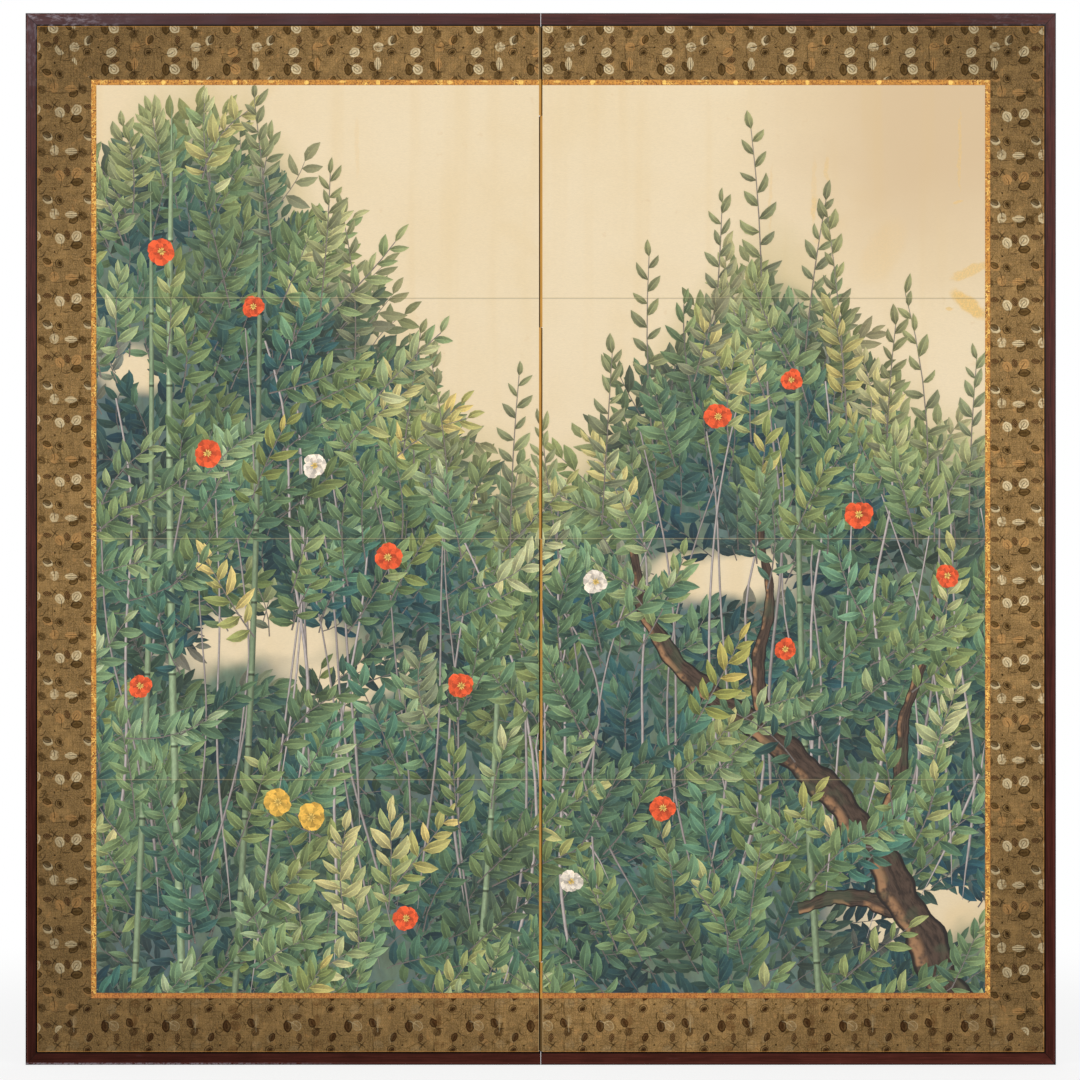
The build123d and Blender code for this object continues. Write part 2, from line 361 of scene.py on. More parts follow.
class Tree:
    """Adds linked nodes to a shader tree. An input may be a wire or a plain value."""

    def __init__(self, tree):
        self.tree = tree

    def feed(self, socket, value):
        """Links a wire to an input, or sets a plain value on it."""
        if isinstance(value, Wire):
            self.tree.links.new(value.socket, socket)
        elif value is not None:
            if socket.type == "RGBA" and len(value) == 3:
                value = (*value, 1.0)
            socket.default_value = value

    def node(self, kind, inputs=(), **settings):
        """Wires out of a new node of a kind, with its settings, and its inputs by number or name."""
        return Wires(self, self.bare_node(kind, inputs, **settings))

    def bare_node(self, kind, inputs=(), **settings):
        """The new node itself."""
        node = self.tree.nodes.new("ShaderNode" + kind)
        for name, value in settings.items():
            setattr(node, name, value)
        for name, value in dict(inputs).items():
            self.feed(node.inputs[name], value)
        return node

    def math(self, operation, *values):
        """Number out of a Math node."""
        return self.node("Math", enumerate(values), operation=operation)[0]

    def vector(self, operation, *values):
        """Vector or number out of a Vector Math node."""
        wires = self.node("VectorMath", enumerate(values), operation=operation)
        return wires["Value" if operation in ("LENGTH", "DOT_PRODUCT", "DISTANCE") else "Vector"]

    def scale(self, vector, factor):
        """Vector or colour times a factor."""
        return self.node("VectorMath", {"Vector": vector, "Scale": factor}, operation="SCALE")[0]

    def split(self, vector):
        """Its x, y and z."""
        return self.node("SeparateXYZ", {0: vector})

    def join(self, x, y, z=0.0):
        """Vector of three numbers."""
        return self.node("CombineXYZ", {0: x, 1: y, 2: z})[0]

    def mix(self, share, low, high, blend="MIX"):
        """Colour that goes from low to high as the share goes from 0 to 1."""
        return self.node("Mix", {0: share, 6: low, 7: high}, data_type="RGBA", blend_type=blend)[2]

    def between(self, value, start, end, low=0.0, high=1.0, smooth=True):
        """Value mapped from start..end to low..high, with soft ends."""
        kind = "SMOOTHSTEP" if smooth else "LINEAR"
        inputs = {0: value, 1: start, 2: end, 3: low, 4: high}
        return self.node("MapRange", inputs, interpolation_type=kind)[0]

    def noise(self, vector, scale, detail=2.0, rough=0.5, stretch=None):
        """Noise of about the given number of spots to the metre, optionally stretched along an axis."""
        if stretch:
            vector = self.vector("MULTIPLY", vector, stretch)
        inputs = {"Vector": vector, "Scale": scale, "Detail": detail, "Roughness": rough}
        return self.node("TexNoise", inputs)[0]

    def shaken(self, vector, place, scale, detail, reach):
        """Vector shifted by the coloured noise of a place, by up to half the reach either way."""
        noise = self.node("TexNoise", {"Vector": place, "Scale": scale, "Detail": detail})["Color"]
        shift = self.vector("MULTIPLY", self.vector("SUBTRACT", noise, (0.5, 0.5, 0.5)), reach)
        return self.vector("ADD", vector, shift)

    def turned(self, vector, angle, axis):
        """Vector turned by an angle about the origin."""
        return self.node("VectorRotate", {"Vector": vector, "Angle": angle}, rotation_type=axis)[0]

    def largest(self, *values):
        """The largest of two or more values."""
        return functools.reduce(functools.partial(self.math, "MAXIMUM"), values)

    def smallest(self, *values):
        """The smallest of two or more values."""
        return functools.reduce(functools.partial(self.math, "MINIMUM"), values)

    def place(self):
        """The point's place in the shared frame."""
        return self.node("TexCoord")["Object"]

    def attribute(self, name):
        """Values of an attribute of the mesh."""
        return self.node("Attribute", attribute_name=name)

    def call(self, group, inputs=()):
        """Wires out of a shader group, with its named inputs."""
        return self.node("Group", inputs, node_tree=group)

    def bump(self, height, distance):
        """Normal of a surface that a height of 1 raises by the distance."""
        return self.node("Bump", {"Height": height, "Distance": distance, "Strength": 1.0})[0]


def shader_group(name, inputs, outputs, build):
    """Node group with named sockets: inputs are (name, type, default), outputs are (name, type)."""
    if name in bpy.data.node_groups:
        return bpy.data.node_groups[name]
    tree = bpy.data.node_groups.new(name, "ShaderNodeTree")
    for label, kind, default in inputs:
        socket = tree.interface.new_socket(label, in_out="INPUT", socket_type="NodeSocket" + kind)
        socket.default_value = (*default, 1.0) if kind == "Color" else default
    for label, kind in outputs:
        tree.interface.new_socket(label, in_out="OUTPUT", socket_type="NodeSocket" + kind)
    entry = tree.nodes.new("NodeGroupInput")
    leave = tree.nodes.new("NodeGroupOutput")
    wiring = Tree(tree)
    for label, value in build(wiring, Wires(wiring, entry)).items():
        wiring.feed(leave.inputs[label], value)
    return tree


def finish(name, base, roughness, height=None, distance=0.0, **constants):
    """Material with a Principled shader. Any of its inputs may be a function of its tree."""
    material = bpy.data.materials.new(name)
    material.use_nodes = True
    tree = Tree(material.node_tree)
    shader = material.node_tree.nodes["Principled BSDF"]
    for label, value in constants.items():
        tree.feed(shader.inputs[label.replace("_", " ")], value(tree) if callable(value) else value)
    tree.feed(shader.inputs["Base Color"], base(tree))
    tree.feed(shader.inputs["Roughness"], roughness(tree) if callable(roughness) else roughness)
    if height:
        tree.feed(shader.inputs["Normal"], tree.bump(height(tree), distance))
    return material


def dress(nodes, material):
    """Gives CAD nodes one material."""
    for name in nodes:
        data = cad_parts[name].data
        data.materials.clear()
        data.materials.append(material)


def of_both(*names):
    """The named nodes of the left and of the right panel."""
    return [f"{side}_{name}" for side in SIDES for name in names]


# --- Shared effects ---


def aged_paper():
    """Fibres, foxing and slow stains of an old paper, laid over its colour."""

    def build(tree, entry):
        place = tree.place()
        fibre = tree.noise(place, 900.0, 3.0, 0.65, stretch=(0.25, 1.0, 1.6))
        cloud = tree.noise(place, 5.5, 4.0, 0.6)
        spots = tree.noise(place, 60.0, 2.0, 0.5)
        fox = tree.between(spots, 0.70, 0.78) * entry["Foxing"]
        shade = tree.between(cloud, 0.30, 0.75)
        toned = tree.mix(shade * entry["Age"], entry["Color"], entry["Stain"])
        foxed = tree.mix(fox, toned, entry["Stain"], "MULTIPLY")
        grain = tree.between(fibre, 0.25, 0.75, 0.93, 1.05, smooth=False)
        return {"Color": tree.scale(foxed, grain), "Height": fibre}

    inputs = [
        ("Color", "Color", (0.8, 0.7, 0.5)),
        ("Stain", "Color", (0.6, 0.45, 0.25)),
        ("Age", "Float", 0.3),
        ("Foxing", "Float", 0.3),
    ]
    return shader_group("Aged paper", inputs, [("Color", "Color"), ("Height", "Float")], build)


def paper_colour(tree, tone, stain, age, **more):
    """A tone of paper, aged towards its stain."""
    return tree.call(aged_paper(), {"Color": tone, "Stain": stain, "Age": age, **more})["Color"]


def paper_height(tree):
    """Height of the paper's fibres."""
    return tree.call(aged_paper())["Height"]


def sheet_seams():
    """Where the sheets overlap: at each seam a painted shadow line under a painted highlight on the edge."""

    def build(tree, entry):
        height = tree.split(tree.place())[2]
        waver = tree.noise(tree.place(), 9.0, 2.0)
        height = height + waver * (0.6 * MM)
        dark, pale = None, None
        for seam in SEAMS:
            off = height - (seam + 0.3 * MM)
            # Painted shadow just under each seam, and a painted highlight on the lapped edge just over it
            under = tree.between(abs(off + 0.9 * MM), 0.2 * MM, 1.1 * MM, 1.0, 0.0)
            over = tree.between(abs(off - 0.7 * MM), 0.1 * MM, 1.0 * MM, 1.0, 0.0)
            dark = under if dark is None else tree.largest(dark, under)
            pale = over if pale is None else tree.largest(pale, over)
        darker = tree.mix(dark * entry["Strength"], entry["Color"], (0.10, 0.085, 0.05))
        paler = tree.mix(pale * entry["Strength"], darker, (0.62, 0.50, 0.27))
        return {"Color": paler}

    inputs = [("Color", "Color", (0.5, 0.5, 0.5)), ("Strength", "Float", 0.4)]
    return shader_group("Sheet seams", inputs, [("Color", "Color")], build)


def with_seams(tree, colour_now, strength):
    """Colour with the seams of the sheets drawn over it."""
    return tree.call(sheet_seams(), {"Color": colour_now, "Strength": strength})["Color"]


def weave():
    """Warp and weft: two crossed sets of ridges, with a share of uneven threads."""

    def build(tree, entry):
        x, _, z = tree.split(tree.place())
        warp = tree.math("SINE", x * entry["Threads"])
        weft = tree.math("SINE", z * entry["Threads"])
        crossed = warp * weft
        slub_x = tree.noise(tree.place(), 420.0, 1.0, stretch=(1.0, 1.0, 0.05))
        slub_z = tree.noise(tree.place(), 420.0, 1.0, stretch=(0.05, 1.0, 1.0))
        slub = slub_x * slub_z
        height = crossed * 0.15 + slub
        tone = tree.between(slub, 0.14, 0.38, 0.86, 1.14, smooth=False)
        return {"Height": height, "Tone": tone}

    inputs = [("Threads", "Float", 9000.0)]
    return shader_group("Weave", inputs, [("Height", "Float"), ("Tone", "Float")], build)


def woven_motif():
    """One oval leaf or bud of the brocade, with outline, ribs and vein, repeated over the cloth.

    In the motif's own axes, scaled to its half sizes, the leaf is where x^2 + |y|^power is under 1, and its
    outline is the ring over 0.7. Its ribs are at the crests of a cosine of the distance from its middle, or
    of y where they run lengthways. Its vein is near the parabola y = bend (x^2 - 0.3), which runs on past
    the foot as a stalk. A power of 2 gives an ellipse, and a smaller one a pointed leaf. One half is lit
    more than the other.
    """

    def build(tree, entry):
        high, low = tree.scale(entry["Repeat"], 0.5), tree.scale(entry["Repeat"], -0.5)
        near = tree.vector("WRAP", tree.vector("SUBTRACT", entry["Cloth"], entry["Middle"]), high, low)
        turned = tree.turned(near, entry["Angle"], "Z_AXIS")
        x, y, _ = tree.split(tree.vector("DIVIDE", turned, entry["Half size"]))
        side = tree.math("POWER", abs(y), entry["Power"])
        away = x * x + side
        inside = tree.between(away, 1.10, 0.88)
        ring = tree.between(away, 0.62, 0.84) * inside
        # Painted shade: the outline is heavier on the less lit half of the leaf
        ring = ring * tree.between(y, 0.9, -0.5, 0.55, 1.0)
        curve = (x * x - 0.3) * entry["Bend"]
        off = abs(y - curve)
        line = tree.between(off, entry["Line width"], 0.0) * tree.between(x, entry["Line end"], 0.0)
        line = line * tree.between(x, -2.0, -1.7)
        lit = tree.between(y, -1.1, 0.3, 0.70, 1.0)
        fill = inside * lit * entry["Fill share"]
        colour_in = tree.mix(fill, entry["Under"], entry["Fill"])
        round_it = tree.math("SQRT", away)
        measure = tree.mix(entry["Lengthways"], round_it, y)
        ribs = tree.between(tree.math("COSINE", measure * 10.6), 0.10, 0.75)
        ribs = ribs * inside * tree.between(x, -0.95, -0.35, entry["Lengthways"], 1.0)
        ribbed = tree.mix(ribs * entry["Rib share"], colour_in, entry["Rib"])
        rimmed = tree.mix(ring * entry["Outline share"], ribbed, entry["Outline"])
        veined = tree.mix(line * entry["Line share"], rimmed, entry["Outline"])
        raised = tree.largest(entry["Raised"], inside * entry["Fill share"])
        return {"Color": veined, "Raised": raised}

    inputs = [
        ("Cloth", "Vector", (0.0, 0.0, 0.0)),
        ("Repeat", "Vector", (96.0, 64.0, 1.0)),
        ("Under", "Color", (0.2, 0.1, 0.05)),
        ("Raised", "Float", 0.0),
        ("Middle", "Vector", (0.0, 0.0, 0.0)),
        ("Half size", "Vector", (8.0, 6.0, 1.0)),
        ("Angle", "Float", 0.0),
        ("Fill", "Color", (0.7, 0.6, 0.4)),
        ("Fill share", "Float", 1.0),
        ("Outline", "Color", (0.03, 0.02, 0.01)),
        ("Outline share", "Float", 0.5),
        ("Power", "Float", 1.5),
        ("Rib", "Color", (0.2, 0.1, 0.05)),
        ("Rib share", "Float", 0.0),
        ("Lengthways", "Float", 0.0),
        ("Bend", "Float", 0.5),
        ("Line width", "Float", 0.22),
        ("Line end", "Float", 0.6),
        ("Line share", "Float", 0.8),
    ]
    return shader_group("Woven motif", inputs, [("Color", "Color"), ("Raised", "Float")], build)


# Kinds of brocade motif: thread, share of the fill, of the outline, of the ribs and of the vein, whether the
# ribs run lengthways, and thread of the ribs
MOTIF_KINDS = {
    "stem": ("ink", 0.0, 0.0, 0.0, 0.55, 0.0, "ground"),
    "twig": ("ink", 0.0, 0.0, 0.0, 0.80, 0.0, "ground"),
    "dotted": ("dotted", 0.95, 0.60, 0.0, 0.30, 0.0, "ground"),
    "leaf": ("brown", 0.95, 0.95, 0.18, 0.50, 0.0, "ground"),
    "veined": ("brown", 0.60, 0.55, 0.45, 0.60, 0.0, "ink"),
    "ringed": ("brown", 0.12, 1.00, 0.0, 0.0, 0.0, "ink"),
    "eye": ("ink", 0.95, 0.0, 0.0, 0.0, 0.0, "ground"),
    "shell": ("late", 0.95, 0.10, 0.0, 0.0, 0.0, "ground"),
    "mottled": ("mottled", 0.90, 0.12, 0.30, 0.90, 0.0, "ground"),
    "streaked": ("late", 0.95, 0.0, 0.80, 0.80, 1.0, "ground"),
    "light": ("early", 1.0, 0.10, 0.55, 0.95, 0.0, "ground"),
    "striped": ("early", 0.95, 0.0, 0.75, 0.85, 0.0, "ground"),
}
# Motifs in millimetres of the cloth's repeat, from a ringed bud: along, across, half length, half width, turn
# in degrees, bend of the vein and kind
MOTIFS = [
    (69.5, -5.8, 9.0, 3.0, 90, 0.1, "stem"),
    (22.0, 8.8, 4.5, 3.0, 80, 0.2, "twig"),
    (53.1, -9.9, 7.0, 3.0, 45, 0.2, "twig"),
    (52.6, -6.4, 6.0, 3.0, -38, 0.2, "twig"),
    (11.1, -29.2, 5.0, 3.0, 110, 0.6, "twig"),
    (82.3, 32.5, 4.0, 3.0, 0, 0.1, "twig"),
    (47.9, -19.8, 7.4, 4.4, 85, 0.2, "dotted"),
    (45.0, 12.9, 7.6, 4.9, 15, 0.2, "dotted"),
    (18.1, -7.6, 1.8, 1.4, 20, 0.2, "eye"),
    (75.3, 37.9, 7.2, 6.6, 60, 0.2, "veined"),
    (68.9, 23.4, 8.4, 6.0, 115, 0.2, "leaf"),
    (28.9, 28.6, 10.2, 6.6, -85, 0.15, "leaf"),
    (0.0, 0.0, 7.6, 6.8, 30, 0.2, "ringed"),
    (0.3, 0.5, 4.9, 4.0, 30, 0.2, "leaf"),
    (0.4, 0.6, 2.4, 1.8, 30, 0.2, "eye"),
    (0.8, -19.0, 8.6, 6.4, 66, 0.2, "shell"),
    (3.6, -20.4, 7.8, 5.0, 66, 0.2, "leaf"),
    (78.3, -8.2, 8.4, 7.6, 180, 0.15, "mottled"),
    (77.0, 19.0, 10.4, 5.4, 90, 0.0, "streaked"),
    (39.1, 0.6, 8.8, 7.4, 35, -0.45, "light"),
    (43.2, 28.0, 8.8, 7.8, -40, 0.15, "striped"),
]
# Strips of brocade: axis of the repeat, share of the pale motifs, tone, middle of a ringed bud in metres, and
# number of repeats in a round of colourings
BROCADE_STRIPS = {
    "top": (0, 1.00, 0.98, (0.0681, 1.656), 5.0),
    "bottom": (0, 0.10, 1.10, (0.0681, 0.092), 5.0),
    "left": (2, 0.85, 1.03, (-0.787, 0.9181), 3.0),
    "right": (2, 0.95, 1.16, (0.762, 0.9112), 3.0),
}
# Millimetres by which the cloth of the left panel's level strips starts later in the bolt
PANEL_SHIFT = 809.3
# Uneven stretch of the pasted upright strips, a sine wave along them: height and length in millimetres, the
# length for one radian, and start in radians
WAVE, WAVE_LENGTH, WAVE_START = 7.6, 190.0, 2.82
# A strip with a smaller share of pale motifs than this is worn, and its other threads are darker
WORN_SHARE = 0.5
DEEP_BROWN, WORN_OCHRE = (0.042, 0.0135, 0.0020), (0.110, 0.042, 0.010)


def threads_of_cloth(tree, place, cloth, ground, settings, repeats, light_share):
    """Colours of the pattern threads and how strongly the changing ones show.

    In a round of three or five repeats the early pale threads turn ochre in the third, and the late ones in
    the first and, where there is one, the fourth.
    """
    worn = light_share < WORN_SHARE
    brown, ochre = (DEEP_BROWN, WORN_OCHRE) if worn else (settings.brown, settings.ochre)
    threads, shares = {"brown": brown, "ink": settings.ink, "ground": ground}, {}
    checks = tree.node("TexChecker", {"Vector": cloth, "Scale": 0.60})["Fac"]
    rust = tree.mix(0.62, ground, (0.130, 0.052, 0.018))
    threads["dotted"] = tree.mix(checks * 0.85, rust, settings.ink)
    run = tree.split(cloth)[0]
    repeat = settings.repeat_along / MM
    for name, first, middle, off in (("early", 0.0, 2.0, 0.0), ("late", 55.0, 1.5, 1.5)):
        row = tree.math("FLOOR", (run - first) / repeat)
        row = tree.math("WRAP", row, repeats, 0.0)
        turned = tree.math("COMPARE", abs(row - middle), off, 0.45)
        threads[name] = tree.mix(turned, settings.cream, ochre)
        left = max(0.72 * light_share, 0.45)
        shares[name] = tree.between(turned, 0.0, 1.0, light_share, left, smooth=False)
    gaps = tree.between(tree.noise(place, 260.0, 2.0), 0.40, 0.52, 0.75, 0.0)
    threads["mottled"] = tree.mix(gaps, threads["late"], ground)
    shares["mottled"] = shares["late"]
    return threads, shares


def place_on_cloth(tree, place, axes, along, bud):
    """Millimetres along and across the cloth from the middle of a ringed bud.

    The threads lie a little unevenly, and an upright strip is stretched in one long wave.
    """
    run, rise = (bud[0], bud[1]) if along == 0 else (bud[1], bud[0])
    measured = (axes[along] - run) * (1.0 / MM)
    if along == 0:
        shift = tree.math("LESS_THAN", axes[0], 0.0) * PANEL_SHIFT
    else:
        shift = tree.math("SINE", WAVE_START - measured / WAVE_LENGTH) * WAVE
    down = -1.0 if along == 0 else 1.0
    cloth = tree.join(measured + shift, (axes[2 - along] - rise) * (down / MM))
    return tree.shaken(cloth, place, 210.0, 1.0, (2.6, 2.6, 0.0))


def ground_of_cloth(tree, place, settings):
    """Ground weave: mottled, with warm patches, light and dark specks, tufts and faint broken twigs.

    Each of them is where a noise of its own size is past a limit. The twigs are where a noise is near its
    middle value.
    """
    mottle = tree.noise(place, 430.0, 4.0, 0.75)
    patch = tree.noise(place, 34.0, 4.0, 0.6)
    speck = tree.noise(place, 620.0, 1.0)
    tuft = tree.noise(place, 95.0, 3.0, 0.6)
    dull, plain, warm = (tuple(c * share for c in settings.ground) for share in (0.50, 1.03, 1.45))
    ground = tree.mix(tree.between(mottle, 0.37, 0.60), dull, plain)
    for noise, start, end, share, thread in (
        (patch, 0.47, 0.68, 0.50, warm),
        (speck, 0.56, 0.66, 0.35, (0.46, 0.29, 0.15)),
        (speck, 0.44, 0.34, 0.35, (0.090, 0.075, 0.032)),
        (tuft, 0.58, 0.70, 0.34, settings.ochre),
        (tuft, 0.43, 0.32, 0.38, settings.brown),
    ):
        ground = tree.mix(tree.between(noise, start, end, 0.0, share), ground, thread)
    for scale in (38.0, 46.0):
        thread = abs(tree.noise(place, scale, 1.0, 0.5) - 0.5)
        broken = tree.between(tree.noise(place, scale * 0.7, 1.0), 0.46, 0.54, 0.0, 0.75)
        ground = tree.mix(tree.between(thread, 0.010, 0.002) * broken, ground, settings.brown)
    return ground


def brocade_colour(tree, along, settings, light_share, tone, bud, repeats):
    """Ground weave with the motifs woven over it, and a gilt line where the cloth meets the frame."""
    place = tree.place()
    axes = tree.split(place)
    cloth = place_on_cloth(tree, place, axes, along, bud)
    repeat = (settings.repeat_along / MM, settings.repeat_across / MM, 1.0)
    ground = ground_of_cloth(tree, place, settings)
    threads, shares = threads_of_cloth(tree, place, cloth, ground, settings, repeats, light_share)
    worn = light_share < WORN_SHARE
    colour_now, raised = ground, 0.0
    for s, t, reach, breadth, turn, bend, kind in MOTIFS:
        thread, fill, outline, ribs, vein, lengthways, rib_thread = MOTIF_KINDS[kind]
        share = light_share if thread in shares else 1.0
        filled = shares[thread] * fill if thread in shares else fill
        inputs = {
            "Cloth": cloth,
            "Repeat": repeat,
            "Under": colour_now,
            "Raised": raised,
            "Middle": (s, t, 0.0),
            "Half size": (reach, breadth, 1.0),
            "Angle": math.radians(turn),
            "Fill": threads[thread],
            "Fill share": filled,
            "Outline": threads[thread] if worn and kind in ("striped", "streaked") else settings.ink,
            "Outline share": 0.35 if worn and kind == "striped" else outline,
            "Power": 2.0 if abs(reach - breadth) < 1.6 else 1.5,
            "Rib": threads[rib_thread],
            "Rib share": ribs * share,
            "Lengthways": lengthways,
            "Bend": bend,
            "Line width": (1.7 if fill == 0.0 else 1.25) / breadth,
            "Line end": 1.4 if fill == 0.0 else 0.75,
            "Line share": vein * (0.35 + 0.65 * share),
        }
        colour_now, raised = tree.call(woven_motif(), inputs)
    woven = tree.call(weave())
    # Darker towards the corners of the screen; a worn strip is also brighter towards the right
    from_middle = tree.vector("DISTANCE", tree.join(axes[0], axes[2]), (0.0, 0.95, 0.0))
    outward_tone = tree.between(from_middle, 0.76, 1.08, tone, 0.67 * tone)
    if worn:
        outward_tone = outward_tone * tree.between(axes[0], -0.10, 0.10, 1.0, 1.20)
    toned = tree.scale(colour_now, woven["Tone"] * outward_tone)
    edged = tree.mix(gilt_line(tree, axes), toned, settings.gold)
    # Paler along the panel's edge at the joint: partly wear, partly a painted highlight on the cloth's edge
    at_joint = tree.between(abs(axes[0]), PANEL_EDGE + 1.5 * MM, PANEL_EDGE + 0.6 * MM, 0.0, 0.6)
    edged = tree.mix(at_joint, edged, (0.50, 0.35, 0.17))
    return edged, raised, woven["Height"]


def gilt_line(tree, axes):
    """Mask of the thin gilt thread along the cloth's outer sides."""
    width = 1.9 * MM
    nearest = tree.smallest(CLOTH_SIDE - abs(axes[0]), CLOTH_TOP - axes[2], axes[2] - CLOTH_BOTTOM)
    return tree.between(nearest, width, width * 0.3, 0.0, 0.38)


def brocade(strip):
    """Brocade of one strip: its repeat runs along the x axis (0) or the z axis (2)."""
    settings = bpy.context.scene.screen_cloth
    along, *looks = BROCADE_STRIPS[strip]
    made = {}

    def base(tree):
        colour_now, raised, threads = brocade_colour(tree, along, settings, *looks)
        made["raised"], made["threads"] = raised, threads
        return colour_now

    def height(tree):
        return made["raised"] * 0.6 + made["threads"] * 0.5

    return finish(f"Brocade {strip}", base, 0.85, height, 0.10 * MM, Specular_IOR_Level=0.1)


def gold_border(name, along):
    """Orange-gold silk with dark specks and patches of gilt scrolls.

    On the level strips a gilt dot and a gilt dash take turns. The scrolls are where a noise is near its
    middle value.
    """
    settings = bpy.context.scene.screen_cloth
    upright = along == 2
    repeat, first = 0.117, 0.085
    scroll_limits = (0.050, 0.015) if upright else (0.060, 0.020)
    patch_limits = (0.41, 0.53) if upright else (0.56, 0.68)
    made = {}

    def base(tree):
        place = tree.place()
        axes = tree.split(place)
        run, rise = axes[along], axes[2 - along]
        woven = tree.call(weave(), {"Threads": 12000.0})
        made["threads"] = woven["Height"]
        swirl = tree.noise(place, 150.0 if upright else 210.0, 1.5)
        scroll = tree.between(abs(swirl - 0.5), *scroll_limits)
        glint = scroll * tree.between(tree.noise(place, 38.0, 2.0), *patch_limits)
        outward = abs(rise - (0.0 if upright else PAINTING_MIDDLE))
        off = outward - ((PAINTING_SIDE if upright else PAINTING_HALF) + 4.5 * MM)
        low = tree.between(axes[2], 1.0, 0.5)
        if not upright:
            phase = tree.math("MODULO", run + (100.5 * repeat - first), repeat) - repeat / 2
            wobble = (tree.noise(place, 260.0, 1.0) - 0.5) * (4.0 * MM)
            away = tree.vector("LENGTH", tree.join(phase, off)) + wobble
            half_phase = tree.math("MODULO", run + (101.0 * repeat - first), repeat) - repeat / 2
            flat = tree.join(half_phase * 0.32, off - 1.5 * MM)
            dash = tree.between(tree.vector("LENGTH", flat) + wobble, 2.2 * MM, 1.2 * MM, 0.0, 0.75)
            glint = tree.largest(glint, tree.largest(tree.between(away, 4.2 * MM, 3.2 * MM), dash))
            glint = glint * tree.between(low, 1.0, 0.0, 0.18, 1.0)
        specks = tree.noise(place, 400.0, 2.0)
        dark = tree.between(specks, 0.50, 0.62, 0.0, 0.60)
        ground = tree.mix(dark, settings.gold, (0.27, 0.085, 0.022))
        groove = abs(swirl - (0.43 if upright else 0.40))
        ground = tree.mix(tree.between(groove, 0.040, 0.012, 0.0, 0.85), ground, (0.150, 0.046, 0.013))
        if not upright:
            dim = tree.between(specks, 0.46, 0.60, 0.0, 0.75)
            ground = tree.mix(low, ground, tree.mix(dim, (0.57, 0.220, 0.050), (0.29, 0.088, 0.026)))
        gilt = tree.mix(glint, ground, settings.gold_light)
        # Painted shadow: dark brown along the strip's outer edge, as shaded by the brocade; it also makes the
        # bright strip look narrower
        rim = tree.between(off, 3.0 * MM, 4.3 * MM, 0.0, 0.80 if upright else 0.45)
        gilt = tree.mix(rim, gilt, (0.17, 0.075, 0.028))
        rim = tree.between(off, -3.4 * MM, -4.4 * MM, 0.0, 0.45)
        gilt = tree.mix(rim, gilt, (0.20, 0.075, 0.018))
        made["glint"] = glint
        return tree.scale(gilt, woven["Tone"])

    def roughness(tree):
        return tree.between(made["glint"], 0.0, 1.0, 0.62, 0.36, smooth=False)

    def height(tree):
        return made["glint"] + made["threads"] * 0.5

    return finish(name, base, roughness, height, 0.1 * MM, Specular_IOR_Level=0.25)


# --- Frame, core and papers ---


